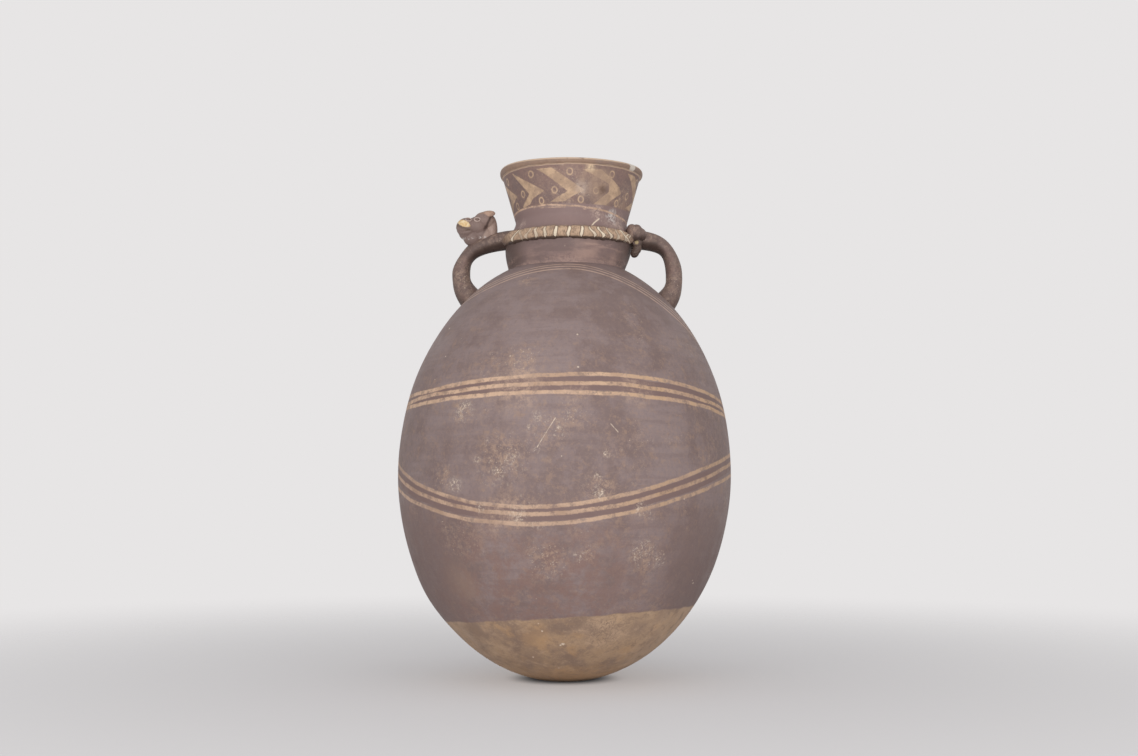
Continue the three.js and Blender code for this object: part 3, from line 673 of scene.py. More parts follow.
cavity_floor_z = belly_z - (LOWER_DROP - BASE_WALL)
bowl_top_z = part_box("base_bowl")[1].z / MM
bowl_outside = [(wall_radius(z), z) for z in rows_between(0, bowl_top_z, BOWL_ROW)]
cavity_rows = rows_between(cavity_floor_z, bowl_top_z, CAVITY_ROW)
bowl_inside = [(wall_radius(z, True), z) for z in reversed(cavity_rows[1:])]
base_bowl = turned("base_bowl_wall", [(0, 0), *bowl_outside, *bowl_inside, (0, cavity_floor_z)])
finished(base_bowl, low_wall_finish, "bare_clay", "base_bowl")

WALL_COILS = [
    ("lower_wall", "lower_wall_coil", low_wall_finish),
    ("belly_lower_wall", "belly_lower_coil", lower_belly_finish),
    ("belly_upper_wall", "belly_upper_coil", upper_belly_finish),
    ("upper_wall", "upper_wall_coil", upper_belly_finish),
]
for wall_name, wall_node, wall_material in WALL_COILS:
    bottom, top = [corner.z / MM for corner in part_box(wall_node)]
    wall_rows = rows_between(bottom, top, WALL_ROW)
    outside = [(wall_radius(z), z) for z in wall_rows]
    inside = [(wall_radius(z, True), z) for z in reversed(wall_rows)]
    wall = turned(wall_name, [*outside, *inside, outside[0]])
    finished(wall, wall_material, "slipped_clay", wall_node)

# Shoulder. The last coil is drawn in to the neck hole. Three thin cream lines run round the neck
# and both handle roots in one long oval.
NECK_SEAT_RADIUS = 53.4
NECK_WALL = 6
DOME_ROW = 2
DOME_INSIDE_ROW = 4

paint = Finish("slip_shoulder_lines")
colour, roughness, relief = slip_ground(paint, scuffs=[((-31, -75, 346), 14)])
colour = oval_lines(paint, colour)
shoulder_finish = paint.clay(colour, roughness, relief)

mouth_radius = NECK_SEAT_RADIUS - NECK_WALL
mouth_share = mouth_radius / (BELLY_RADIUS - BELLY_WALL)
mouth_z = belly_z + (UPPER_RISE - BELLY_WALL) * sqrt(1 - mouth_share**2)
dome_rows = rows_between(DOME_BOTTOM_Z, neck_seat_z, DOME_ROW)
dome_outside = [(wall_radius(z), z) for z in dome_rows]
dome_inside_rows = rows_between(DOME_BOTTOM_Z, mouth_z, DOME_INSIDE_ROW)
dome_inside = [(wall_radius(z, True), z) for z in dome_inside_rows]
dome_mouth = [(mouth_radius, neck_seat_z), *reversed(dome_inside)]
shoulder = turned("shoulder_wall", [*dome_outside, *dome_mouth, dome_outside[0]])
finished(shoulder, shoulder_finish, "slipped_clay", "shoulder_dome")

# Neck. Two rings of clay stand on the shoulder: a swollen lower one and a throat drawn in above
# it. They are luted on with wet slip and smoothed over, with a soft crease at the seat.
CREASE_HEIGHT = 2
BULGE_RADIUS = 58
BULGE_RISE = 23
THROAT_RADIUS = 51
NECK_ROW = 1.5
COLLAR_RADIUS = 62.8
COLLAR_HEIGHT = 41.6
THROAT_TONE = tint(152, 128, 124)
NECK_TONE = tint(142, 119, 115)
NECK_PINK = tint(180, 150, 138)
THROAT_PINK = tint(204, 178, 164)
COLLAR_LINE = (410.9, -0.0696, -0.0846)
WHITENED = tint(216, 206, 200)
HANDLE_DARK = tint(104, 86, 80)

# Pale patches: place and radius, and on the throat strength and tone too.
NECK_PATCHES = [((20, -52, 376), 17), ((44, -37, 370), 8), ((-30, -45, 373), 9)]
THROAT_PATCHES = [
    ((46, -33, 403), 18, 0.75, THROAT_PINK), ((29, -47, 410.5), 10, 1.0, THROAT_PINK),
    ((-40, -31, 404), 8, 0.9, THROAT_PINK), ((52, -28, 397), 8, 0.9, THROAT_PINK),
    ((43, -37, 409), 9, 1.0, WHITENED), ((41, -39, 410), 6, 1.0, WHITENED),
]
THROAT_SCRATCH = [
    (30.5, -45.2, 405.4), (26, -49.2, 400.9), (23.7, -51.7, 397.6), (22.4, -53.7, 394.4),
]
crease_z = neck_seat_z + CREASE_HEIGHT
bulge_z = neck_seat_z + BULGE_RISE
collar_top_z = throat_z + COLLAR_HEIGHT


def eased(share):
    """A share from 0 to 1 that starts and stops gently."""
    return (1 - cos(pi * min(1, max(0, share)))) / 2


def neck_radius(z):
    """The neck's radius at a height: crease, bulge, throat and flared collar."""
    if z >= throat_z:
        return THROAT_RADIUS + (COLLAR_RADIUS - THROAT_RADIUS) * (z - throat_z) / COLLAR_HEIGHT
    if z >= bulge_z:
        share = eased((z - bulge_z) / (throat_z - bulge_z))
        return BULGE_RADIUS + (THROAT_RADIUS - BULGE_RADIUS) * share
    share = min(1, max(0, (z - crease_z) / (bulge_z - crease_z)))
    return NECK_SEAT_RADIUS + (BULGE_RADIUS - NECK_SEAT_RADIUS) * sin(share * pi / 2)


def tilted_line(paint, line, width, soft=0.4):
    """How much of a spot is covered by a line that lies in one tilted plane."""
    sway = paint.noise(15, detail=3, shift=line[0])
    height = paint.calc("MULTIPLY_ADD", sway, 1.6, paint.tilted(*line))
    return paint.ramp(paint.off_from(paint.z, height), width / 2 + soft, width / 2 - soft)


def collar_line(paint):
    """The thin line at the collar's foot, dragged thin and doubled in places."""
    level, along_x, along_y = COLLAR_LINE
    main = tilted_line(paint, COLLAR_LINE, 1.5)
    second = tilted_line(paint, (level - 1.9, along_x, along_y), 1.0)
    doubled = paint.ramp(paint.noise(11, detail=4, shift=5.9), 0.5, 0.6, 0, 0.7)
    second = paint.times(second, doubled)
    dragged = paint.ramp(paint.noise(4, detail=6, roughness=0.7, shift=2.4), 0.36, 0.52, 0.3, 1)
    return paint.times(paint.calc("MAXIMUM", main, second), dragged)


paint = Finish("slip_neck")
colour, roughness, relief = slip_ground(paint, NECK_TONE)
throat_share = paint.ramp(paint.z, 394, 403, 0, 0.8)
colour = paint.blend(throat_share, colour, THROAT_TONE)
# Painted shadow on the neck under and behind the fillet, broken up along the smears.
painted_fillet_shadow = paint.ramp(paint.z, 377, 385, 0, 0.5)
painted_fillet_shadow = paint.times(painted_fillet_shadow, paint.ramp(paint.z, 396, 393))
smear = paint.noise(13, detail=5, roughness=0.6, stretch=(0.4, 0.4, 2), shift=6.6)
painted_fillet_shadow = paint.times(painted_fillet_shadow, paint.ramp(smear, 0.35, 0.6, 0.4, 1))
colour = paint.blend(painted_fillet_shadow, colour, SLIP_DARK)
streak = paint.noise(16, detail=7, roughness=0.7, stretch=(0.4, 0.4, 2), shift=3.2)
below = paint.ramp(paint.z, 394, 388)
dark_streak = paint.times(paint.ramp(streak, 0.5, 0.6, 0, 0.75), below)
colour = paint.blend(dark_streak, colour, SLIP_DARK)
pink_streak = paint.times(paint.ramp(streak, 0.42, 0.34, 0, 0.6), below)
colour = paint.blend(pink_streak, colour, NECK_PINK)
broken = paint.ramp(paint.noise(2.6, detail=5, roughness=0.75, shift=7.1), 0.4, 0.58)
for patch_place, patch_radius in NECK_PATCHES:
    pale = paint.near(patch_place, patch_radius, ragged=1.3, reach=0.1)
    pale = paint.times(pale, paint.ramp(smear, 0.38, 0.56, 0.2, 0.75))
    colour = paint.blend(pale, colour, NECK_PINK)
# Painted shade down both sides of the lower neck, below the fillet.
side = paint.ramp(paint.off_from(paint.x, NECK_OFFSET), 34, 54, 0, 0.9)
side = paint.times(side, paint.ramp(paint.z, 394, 390))
colour = paint.blend(side, colour, HANDLE_DARK)
for patch_place, patch_radius, patch_share, patch_tone in THROAT_PATCHES:
    pale = paint.near(patch_place, patch_radius, ragged=1.4, reach=0.1)
    pale = paint.times(paint.times(pale, broken), patch_share)
    colour = paint.blend(pale, colour, patch_tone)
seat = paint.ramp(paint.z, 376, 369, 0, 0.65)
seat = paint.times(seat, paint.times(paint.ramp(smear, 0.42, 0.6), broken))
colour = paint.blend(seat, colour, NECK_PINK)
for scratch_start, scratch_end in zip(THROAT_SCRATCH, THROAT_SCRATCH[1:]):
    colour = paint.blend(paint.stroke(scratch_start, scratch_end, 1.2), colour, SPECK)
colour = line_coat(paint, collar_line(paint), colour)
neck_finish = paint.clay(colour, roughness, relief)

NECK_RINGS = [("neck_wall", "neck_ring"), ("throat_wall", "neck_throat")]
for ring_name, ring_node in NECK_RINGS:
    bottom, top = [corner.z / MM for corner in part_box(ring_node)]
    ring_rows = rows_between(bottom, top, NECK_ROW)
    outside = [(neck_radius(z), z) for z in ring_rows]
    inside = [(neck_radius(z) - NECK_WALL, z) for z in reversed(ring_rows)]
    ring = turned(ring_name, [*outside, *inside, outside[0]])
    finished(ring, neck_finish, "slipped_clay", ring_node)

# Collar. The flared top of the neck, painted before firing in cream slip: ten arrowheads that
# point one way round, small rings between them, and a thin line below. The paint is rubbed thin.
COLLAR_SIDES = 640
COLLAR_ROW = 0.7
COLLAR_INSIDE_ROW = 6
COLLAR_PAINT = tint(218, 185, 153)
COLLAR_PAINT_WORN = tint(186, 156, 131)
COLLAR_CREAM = tint(238, 210, 174)
COLLAR_PALE = tint(214, 192, 176)
COLLAR_GROUND = tint(149, 121, 113)
CHIP = tint(226, 214, 200)
LIP_LINE = (450.2, 0, 0)
LIP_LINE_SHARE = 0.75
LIP_CREAM = tint(224, 196, 170)
FULL_TURN = 360
RING_RADIUS = 2.3
RING_WIDTH = 1.1
FAR_OFF = 9

# Arrowhead outlines as degrees from the tip and heights; the three at the front differ.
ARROW_PLAIN = [
    (-42, 448.1), (-28.7, 448.1), (-13.4, 437.1), (0, 428.6), (-8, 425.4),
    (-18.2, 419.2), (-32.1, 419.3), (-15.7, 427.9), (-36.8, 444.6),
]
ARROW_SLIM = [
    (-33.1, 449.1), (0, 429.6), (-0.4, 428.4), (-12.7, 423.7), (-17.7, 419.5),
    (-27, 417.6), (-28.9, 418.5), (-15.9, 428.3), (-32.3, 447.1),
]
ARROW_WORN = [
    (-42.2, 446.4), (-26.1, 447.2), (-4, 434.8), (0, 430), (-10.2, 423.1), (-16.2, 418.1),
    (-31.3, 416.8), (-23.8, 422.5), (-15.3, 429.3), (-16.9, 436), (-31.1, 441.3),
]
ARROWS = [(-25.3, ARROW_SLIM), (12.3, ARROW_PLAIN), (51.4, ARROW_WORN)]
ARROWS += [(tip, ARROW_PLAIN) for tip in (96, 163, 230)]
ARROWS += [(tip, ARROW_SLIM) for tip in (-59.8, 130, 197, 264)]
RINGS_FROM_TIP = [(24, 444.4), (10.3, 429.2), (-3.5, 421)]

# Places where the collar's paint is smudged: centre, radius, strength and tone.
COLLAR_HAZE_TONE = tint(176, 148, 128)
COLLAR_NOTCH = tint(118, 94, 80)
COLLAR_SCUFFS = [((8, -58, 432), 40), ((50, -30, 425), 24)]
COLLAR_HAZE = [
    ((30, -54, 436), 20, 0.85, COLLAR_HAZE_TONE), ((34, -46, 420), 11, 0.8, COLLAR_HAZE_TONE),
    ((33, -49, 431), 7, 0.9, COLLAR_NOTCH), ((16, -57, 430), 10, 0.5, COLLAR_PALE),
    ((23, -61, 449), 7.5, 1.0, COLLAR_CREAM), ((16, -57, 440), 8, 0.6, COLLAR_HAZE_TONE),
    ((43, -38, 411), 8, 0.9, WHITENED), ((52, -28, 420), 12, 0.6, COLLAR_HAZE_TONE),
    ((28, -48, 411.5), 9, 0.8, THROAT_PINK),
    ((-46, -28, 415), 8, 0.7, COLLAR_HAZE_TONE), ((-30, 52, 436), 16, 0.6, COLLAR_HAZE_TONE),
]


def edge_distance(point, outline):
    """Distance from a point to a closed outline: over 0 inside it and under 0 outside."""
    x, y = point
    nearest = 1e9
    inside = False
    for (ax, ay), (bx, by) in zip(outline, outline[1:] + outline[:1]):
        length = (bx - ax) ** 2 + (by - ay) ** 2
        share = min(1, max(0, ((x - ax) * (bx - ax) + (y - ay) * (by - ay)) / length))
        nearest = min(nearest, hypot(x - ax - share * (bx - ax), y - ay - share * (by - ay)))
        if (ay > y) != (by > y) and x < ax + (y - ay) * (bx - ax) / (by - ay):
            inside = not inside
    return nearest if inside else -nearest


def turn_between(angle, start):
    """The shortest turn from one angle to another, in degrees."""
    return (angle - start + FULL_TURN / 2) % FULL_TURN - FULL_TURN / 2


def note(piece, name, values):
    """Notes a number on each corner of the piece, for its finish to read."""
    piece.data.attributes.new(name, "FLOAT", "POINT").data.foreach_set("value", values)


def mark_collar(piece):
    """Notes on each corner how far it lies inside an arrowhead and from the middle of a ring."""
    depths = []
    reaches = []
    degree = tau * neck_radius((throat_z + collar_top_z) / 2) / FULL_TURN
    outlines = [(tip, [(turn * degree, z) for turn, z in outline]) for tip, outline in ARROWS]
    rings = [(tip + turn, z) for tip, outline in ARROWS for turn, z in RINGS_FROM_TIP]
    for corner in piece.data.vertices:
        x, y, z = in_mm(corner.co)
        angle = degrees(atan2(x - neck_offset(z), -y))
        depth = -FAR_OFF
        reach = FAR_OFF
        outside = hypot(x - neck_offset(z), y) > neck_radius(z) - NECK_WALL / 2
        for tip, outline in outlines if outside else ():
            turn = turn_between(angle, tip)
            if -50 < turn < 8:
                depth = max(depth, edge_distance((turn * degree, z), outline))
        for ring_angle, ring_z in rings if outside else ():
            turn = turn_between(angle, ring_angle)
            if abs(turn) < 8:
                reach = min(reach, hypot(turn * degree, (z - ring_z) * 0.85))
        depths.append(depth)
        reaches.append(reach)
    note(piece, "arrow_depth", depths)
    note(piece, "ring_reach", reaches)


paint = Finish("painted_collar")
colour, roughness, relief = slip_ground(paint, COLLAR_GROUND, scuffs=COLLAR_SCUFFS)
arrow = paint.noted("arrow_depth")
ring_off = paint.noted("ring_reach")
frayed = paint.noise(3.2, detail=4, roughness=0.65, shift=6.1)
arrow = paint.calc("MULTIPLY_ADD", frayed, 1.4, arrow)
worn = paint.noise(12, detail=7, roughness=0.7, shift=2.6)
tone = paint.noise(8, detail=5, roughness=0.6, shift=9.3)
cream = paint.blend(paint.ramp(tone, 0.38, 0.64), COLLAR_PAINT, COLLAR_PAINT_WORN)
cover = paint.ramp(worn, 0.34, 0.5, 0.5, 0.97)
arrow_share = paint.times(paint.ramp(arrow, 0.4, 1.0), cover)
colour = paint.blend(arrow_share, colour, cream)
ring_off = paint.calc("MULTIPLY_ADD", frayed, 1.0, ring_off)
ring_off = paint.off_from(ring_off, RING_RADIUS + 0.5)
ring_share = paint.ramp(ring_off, RING_WIDTH / 2 + 0.35, RING_WIDTH / 2 - 0.35)
ring_share = paint.times(ring_share, cover)
colour = paint.blend(ring_share, colour, cream)
smudged = paint.noise(3.5, detail=6, roughness=0.75, shift=1.7)
grit = paint.noise(1.9, detail=6, roughness=0.8, shift=3.7)
colour = paint.blend(paint.ramp(grit, 0.52, 0.64, 0, 0.5), colour, COLLAR_HAZE_TONE)
colour = paint.blend(paint.ramp(grit, 0.46, 0.36, 0, 0.45), colour, SLIP_DARK)
for haze_place, haze_radius, haze_share, haze_tone in COLLAR_HAZE:
    haze = paint.near(haze_place, haze_radius, ragged=1.4, reach=0.1)
    smeared = paint.ramp(smudged, 0.36, 0.54, haze_share * 0.35, haze_share)
    haze = paint.times(haze, smeared)
    colour = paint.blend(haze, colour, haze_tone)
colour = line_coat(paint, collar_line(paint), colour)
lip_line = paint.times(tilted_line(paint, LIP_LINE, 1.0, 0.3), LIP_LINE_SHARE)
colour = paint.blend(lip_line, colour, LIP_CREAM)
relief = paint.calc("MULTIPLY_ADD", arrow_share, 0.05, relief)
collar_finish = paint.clay(colour, roughness, relief)

bottom, top = [corner.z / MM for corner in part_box("flared_collar")]
collar_rows = rows_between(bottom, top, COLLAR_ROW)
outside = [(neck_radius(z), z) for z in collar_rows]
inside = [(neck_radius(z) - NECK_WALL, z) for z in rows_between(top, bottom, COLLAR_INSIDE_ROW)]
collar = turned("flared_collar_wall", [*outside, *inside, outside[0]], COLLAR_SIDES)
mark_collar(collar)
finished(collar, collar_finish, "slipped_clay", "flared_collar")

# Lip. A rounded bead of clay is folded out over the collar's edge and wiped smooth. Its cream
# slip is rubbed through to the brown on the face and chipped on the right.
LIP_RADIUS = 65.4
LIP_FLAT = 3.2
LIP_LEDGE = 0.5
LIP_FACE_STEPS = 14
LIP_BACK_STEPS = 8
LIP_BROWN = tint(150, 120, 102)
CHIP_SPOT = (58.5, -34.5, 455.6)


def curve(points, steps):
    """Points along a smooth curve through its pulled-in handles, as (radius, height)."""
    marks = []
    for step in range(steps + 1):
        share = step / steps
        level = points
        while len(level) > 1:
            pairs = zip(level, level[1:])
            level = [(ax + (bx - ax) * share, ay + (by - ay) * share) for (ax, ay), (bx, by) in pairs]
        marks.append(level[0])
    return marks


paint = Finish("worn_lip")
colour, roughness, relief = slip_ground(paint, LIP_BROWN)
rubbed = paint.noise(7, detail=7, roughness=0.7, shift=3.3)
crest = paint.measure(RIM_TILT_X, -RIM_TILT_Y, 1, 0)
bowed = paint.times(paint.times(paint.x, paint.x), -RIM_BOW)
crest = paint.calc("ADD", crest, bowed)
on_top = paint.ramp(crest, 455.9, 456.9, 0.12, 0.95)
on_top = paint.times(on_top, paint.ramp(rubbed, 0.34, 0.48, 0.35, 1.0))
under_line = tilted_line(paint, LIP_LINE, 1.0, 0.3)
cream_share = paint.calc("MAXIMUM", on_top, paint.times(under_line, LIP_LINE_SHARE))
colour = paint.blend(cream_share, colour, LIP_CREAM)
colour = paint.blend(paint.near(CHIP_SPOT, 6.2, ragged=0.5, reach=0.8), colour, CHIP)
lip_finish = paint.clay(colour, roughness, relief)

lip_top_z = collar_top_z + LIP_HEIGHT
lip_inner = COLLAR_RADIUS - NECK_WALL
crown = (LIP_RADIUS + lip_inner) / 2
lip_face = curve([
    (COLLAR_RADIUS + LIP_LEDGE, collar_top_z),
    (LIP_RADIUS + 1, collar_top_z + 1.4),
    (LIP_RADIUS + 0.6, lip_top_z),
    (crown + LIP_FLAT / 2, lip_top_z),
], LIP_FACE_STEPS)
lip_back = curve([
    (crown - LIP_FLAT / 2, lip_top_z),
    (lip_inner, lip_top_z),
    (lip_inner, collar_top_z),
], LIP_BACK_STEPS)
lip = turned("rim_lip_bead", [*lip_face, *lip_back, lip_face[0]])
finished(lip, lip_finish, "rim_paint", "rim_lip")

# Handles. Each is an oval bar of clay, pulled out, bent over and pressed onto the neck and the
# shoulder, where it is thumbed out wide. The dark slip is rubbed brown on the outer edges.
FILLET_RISE = 3
HANDLE_DEPTH = 20
ROOT_THICKNESS = 27
ROOT_DEPTH = 30
HANDLE_NECK_THICKNESS = 17.6
HANDLE_NECK_DEPTH = 25
HANDLE_SINK = 12
HANDLE_SIDES = 40
HANDLE_UPPER_STEPS = 24
HANDLE_LOWER_STEPS = 18
HANDLE_OVERRUN = 1.35
ROOT_FROM = 0.6
NECK_UNTIL = 0.34
WIDENS_OVER = 0.3
ROOT_INWARD = 0.55
HANDLE_SLIP = tint(128, 108, 102)
HANDLE_RUBBED = tint(160, 136, 122)
# Dark brown of the painted shade on undersides, under the fillet and behind the face, and of the
# smear on the right handle.
SHADE_AND_SMEAR_BROWN = tint(76, 60, 54)
HANDLE_SMEAR = (81, -9, 388)
HANDLE_SCUFFS = [
    ((-88, -6, 360), 26), ((-62, -9, 393), 14), ((-86, -9, 336), 12),
    ((100, -6, 356), 22), ((78, -9, 393), 10), ((62, -25, 399), 10),
]
fillet_z = bulge_z + FILLET_RISE

# Each handle: its side, its reach past the wall, its rise over the fillet, how far its bend and
# its root lie below, how square its arc is, its thickness, and its fuller corner as a bell.
LEFT_HANDLE = {
    "side": -1, "overhang": 5.4, "rise": 3.6, "bend_drop": 32, "root_drop": 26,
    "square": 2.1, "thickness": 16.4, "corner": (0.3, 0.1, 2.4),
}
RIGHT_HANDLE = {
    "side": 1, "overhang": 6.6, "rise": 4.4, "bend_drop": 37, "root_drop": 30.4,
    "square": 2.6, "thickness": 15, "corner": (0.28, 0.12, 3.4),
}


def handle_path(handle):
    """Middle points of a handle: over the top in a squared arc, then down to its root."""
    side = handle["side"]
    root_z = neck_seat_z - handle["root_drop"]
    top_z = fillet_z + handle["rise"]
    bend_z = top_z - handle["bend_drop"]
    start_x = side * (neck_radius(top_z) - HANDLE_SINK) + neck_offset(top_z)
    reach_x = side * (wall_radius(root_z) + handle["overhang"])
    root_x = side * wall_radius(root_z) + neck_offset(root_z)
    points = []
    for step in range(HANDLE_UPPER_STEPS):
        angle = (pi / 2) * step / HANDLE_UPPER_STEPS
        out = sin(angle) ** (2 / handle["square"])
        drop = cos(angle) ** (2 / handle["square"])
        points.append((start_x + (reach_x - start_x) * out, bend_z + handle["bend_drop"] * drop))
    for step in range(HANDLE_LOWER_STEPS + 1):
        share = HANDLE_OVERRUN * step / HANDLE_LOWER_STEPS
        points.append((reach_x + (root_x - reach_x) * share**2, bend_z + (root_z - bend_z) * share))
    return points


def ends_filled():
    """Fills the open ends of the piece being edited, turns its faces out and closes it."""
    bpy.ops.mesh.select_all(action="SELECT")
    bpy.ops.mesh.fill_holes(sides=0)
    bpy.ops.mesh.select_all(action="SELECT")
    bpy.ops.mesh.normals_make_consistent(inside=False)
    bpy.ops.object.mode_set(mode="OBJECT")


def joined_rings(name, rings):
    """Sets upright oval rings (place, turn, half thickness, half depth) and bridges them."""
    bpy.ops.object.select_all(action="DESELECT")
    for number, (place, turn, across, deep) in enumerate(rings):
        place = [part * MM for part in place]
        bpy.ops.mesh.primitive_circle_add(
            vertices=HANDLE_SIDES, radius=MM, location=place, rotation=(0, turn, 0)
        )
        if number == 0:
            piece = opened(name)
        size = (1 + (across - 1) * abs(cos(turn)), deep, 1 + (across - 1) * abs(sin(turn)))
        bpy.ops.transform.resize(value=size, center_override=place)
    bpy.ops.mesh.select_all(action="SELECT")
    bpy.ops.mesh.bridge_edge_loops()
    ends_filled()
    return piece


def handle_rings(handle):
    """Rings along a handle, wide where it meets the neck and widest at its root."""
    points = handle_path(handle)
    rings = []
    for row, (x, z) in enumerate(points):
        ahead = points[min(row + 1, len(points) - 1)]
        behind = points[max(row - 1, 0)]
        turn = atan2(ahead[0] - behind[0], ahead[1] - behind[1])
        share = row / (len(points) - 1)
        root = eased((share - ROOT_FROM) / WIDENS_OVER)
        neck = eased((NECK_UNTIL - share) / WIDENS_OVER)
        root_swell = (ROOT_THICKNESS - handle["thickness"]) * root
        neck_swell = (HANDLE_NECK_THICKNESS - handle["thickness"]) * neck
        corner = bell(share, *handle["corner"])
        thickness = handle["thickness"] + root_swell + neck_swell + corner
        depth = HANDLE_DEPTH + (ROOT_DEPTH - HANDLE_DEPTH) * root
        depth += (HANDLE_NECK_DEPTH - HANDLE_DEPTH) * neck
        inward = handle["side"] * (ROOT_INWARD * root_swell - corner) / 2
        place = (x + inward * cos(turn), 0, z - inward * sin(turn))
        rings.append((place, turn, thickness / 2, depth / 2))
    return rings


def dark_finish(name, slip=HANDLE_SLIP, dark=HANDLE_DARK):
    """Dark brown slip, rubbed brown on the high places by handling, with painted shade underneath."""
    paint = Finish(name)
    colour, roughness, relief = slip_ground(paint, slip, dark, HANDLE_RUBBED, scuffs=HANDLE_SCUFFS)
    drawn = paint.noise(9, detail=6, roughness=0.65, shift=7.2)
    colour = paint.blend(paint.ramp(drawn, 0.52, 0.66, 0, 0.35), colour, HANDLE_RUBBED)
    reddened = paint.noise(13, detail=7, roughness=0.7, shift=9.4)
    colour = paint.blend(paint.ramp(reddened, 0.5, 0.62, 0, 0.5), colour, SLIP_RED)
    streaks = paint.noise(5, detail=6, roughness=0.74, shift=6.7)
    colour = paint.blend(paint.ramp(streaks, 0.55, 0.63, 0, 0.75), colour, HANDLE_RUBBED)
    colour = paint.blend(paint.ramp(streaks, 0.44, 0.34, 0, 0.65), colour, dark)
    # Painted shade where the piece faces down.
    under = paint.noted("under_side")
    colour = paint.blend(paint.ramp(under, 0.05, 0.75, 0, 0.85), colour, SHADE_AND_SMEAR_BROWN)
    smear = paint.near(HANDLE_SMEAR, 8, ragged=0.9, reach=0.3)
    colour = paint.blend(paint.times(smear, 0.7), colour, SHADE_AND_SMEAR_BROWN)
    spots = paint.times(smear, paint.specks(4.5, 1.3, 0.5, shift=3.4))
    colour = paint.blend(paint.times(spots, 0.8), colour, SLIP_WARM)
    relief = paint.calc("MULTIPLY_ADD", drawn, 0.7, relief)
    return paint.clay(colour, roughness, relief)


def trimmed(piece):
    """Sets back whatever passes the middle of the neck's wall, so that nothing shows inside it."""
    for corner in piece.data.vertices:
        x, y, z = in_mm(corner.co)
        from_axis = hypot(x - neck_offset(z), y)
        limit = neck_radius(z) - NECK_WALL / 2
        if crease_z < z < collar_top_z and from_axis < limit:
            grow = limit / from_axis
            corner.co = Vector((neck_offset(z) + (x - neck_offset(z)) * grow, y * grow, z)) * MM


def mark_under_side(piece):
    """Notes on each corner how far it faces down, for the painted shade underneath."""
    note(piece, "under_side", [max(0, -corner.normal.z) for corner in piece.data.vertices])


handle_finish = dark_finish("dark_handle_slip")
for handle_name, handle_node, handle in [
    ("loop_handle_left", "handle_left", LEFT_HANDLE),
    ("loop_handle_right", "handle_right", RIGHT_HANDLE),
]:
    bar = joined_rings(handle_name, handle_rings(handle))
    trimmed(bar)
    mark_under_side(bar)
    finished(bar, handle_finish, "dark_slip", handle_node)

# Feline's body. A clay fillet pressed round the front of the neck from handle to handle. It is
# coated in cream slip, and short white bars are stroked across it with a loaded brush.
FILLET_HALF_HEIGHT = 5.8
FILLET_HALF_DEPTH = 5.5
FILLET_STAND = 1
FILLET_SIDES = 36
FILLET_STEP_DEGREES = 0.4
BODY_START = 185
BODY_END = 340
FRONT = 270
DENT_SPREAD = 1.6
DENT_DEPTH = 0.12
CREAM = tint(216, 184, 154)
CREAM_WORN = tint(158, 130, 110)
BAR_GAP_AND_SHADOW = tint(118, 94, 80)
WHITE = tint(255, 238, 212)
END_SCRATCHES = [
    ((48.9, -46, 395.6), (54.4, -42, 390.8)),
    ((54.4, -42, 390.8), (58.8, -37, 387.6)),
    ((57.4, -40, 394.4), (54.4, -42, 390.8)),
]

# Each bar: degrees from the front, lean and curl in degrees, and how strongly it shows.
BARS = [
    (-50, 4.0, 1.5, 0.9), (-43, 1.0, -1.5, 0.35), (-35, 1.0, 2.0, 0.45), (-27.6, 1.5, -1.2, 0.6),
    (-19.5, 1.0, -0.8, 0.75), (-10.7, 0.5, 0.2, 1.0), (-0.2, 0.3, 0.5, 1.0), (10.2, 0.2, 0.3, 1.0),
    (18.8, -1.4, -1.6, 0.8), (26.2, -1.0, -2.0, 0.95),
    (34.0, -1.4, -2.0, 0.8), (42.6, -0.8, -1.2, 0.5),
    (51.0, -2.4, -1.8, 0.7), (60.5, 4.2, 0.8, 0.7),
]


def neck_fillet(name, start, end, half_depth, half_height, size_at):
    """Spins an oval section round the leaning neck; size_at gives its size along the way."""
    radius = neck_radius(fillet_z) + FILLET_STAND
    middle = (radius * MM, 0, fillet_z * MM)
    bpy.ops.object.select_all(action="DESELECT")
    bpy.ops.mesh.primitive_circle_add(
        vertices=FILLET_SIDES, radius=MM, location=middle, rotation=(pi / 2, 0, 0)
    )
    piece = opened(name)
    bpy.ops.transform.resize(value=(half_depth, 1, half_height), center_override=middle)
    steps = round((end - start) / FILLET_STEP_DEGREES)
    bpy.ops.mesh.spin(steps=steps, angle=radians(end - start), center=(0, 0, 0), axis=(0, 0, -1))
    ends_filled()
    for corner in piece.data.vertices:
        x, y, z = in_mm(corner.co)
        turn = degrees(atan2(y, x))
        depth, height = size_at(turn / (end - start), turn + start)
        out = radius + (hypot(x, y) - radius) * depth
        angle = radians(turn + start)
        side = out * cos(angle) + neck_offset(fillet_z)
        rise = (z - fillet_z) * height
        corner.co = Vector((side, out * sin(angle), fillet_z + rise)) * MM
    return piece


def body_size(share, angle):
    """The fillet is a little uneven, thins out at both ends and sinks where a bar was pressed in."""
    uneven = 0.05 * sin(radians(angle) * 9) + 0.045 * sin(radians(angle) * 17 + 1)
    uneven += 0.035 * sin(radians(angle) * 41) + 0.03 * sin(radians(angle) * 67 + 2)
    start_share = 0.4 * (1 - eased((angle - BODY_START) / 38))
    end_share = 0.4 * (1 - eased((BODY_END - angle) / 30))
    uneven -= start_share + end_share
    dent = 0
    for bar, *_, strength in BARS:
        dent += strength / (1 + (turn_between(angle, FRONT + bar) / DENT_SPREAD) ** 2)
    return 1 + uneven - DENT_DEPTH * min(1, dent), 1 + uneven


body = neck_fillet(
    "feline_striped_body", BODY_START, BODY_END, FILLET_HALF_DEPTH, FILLET_HALF_HEIGHT, body_size
)

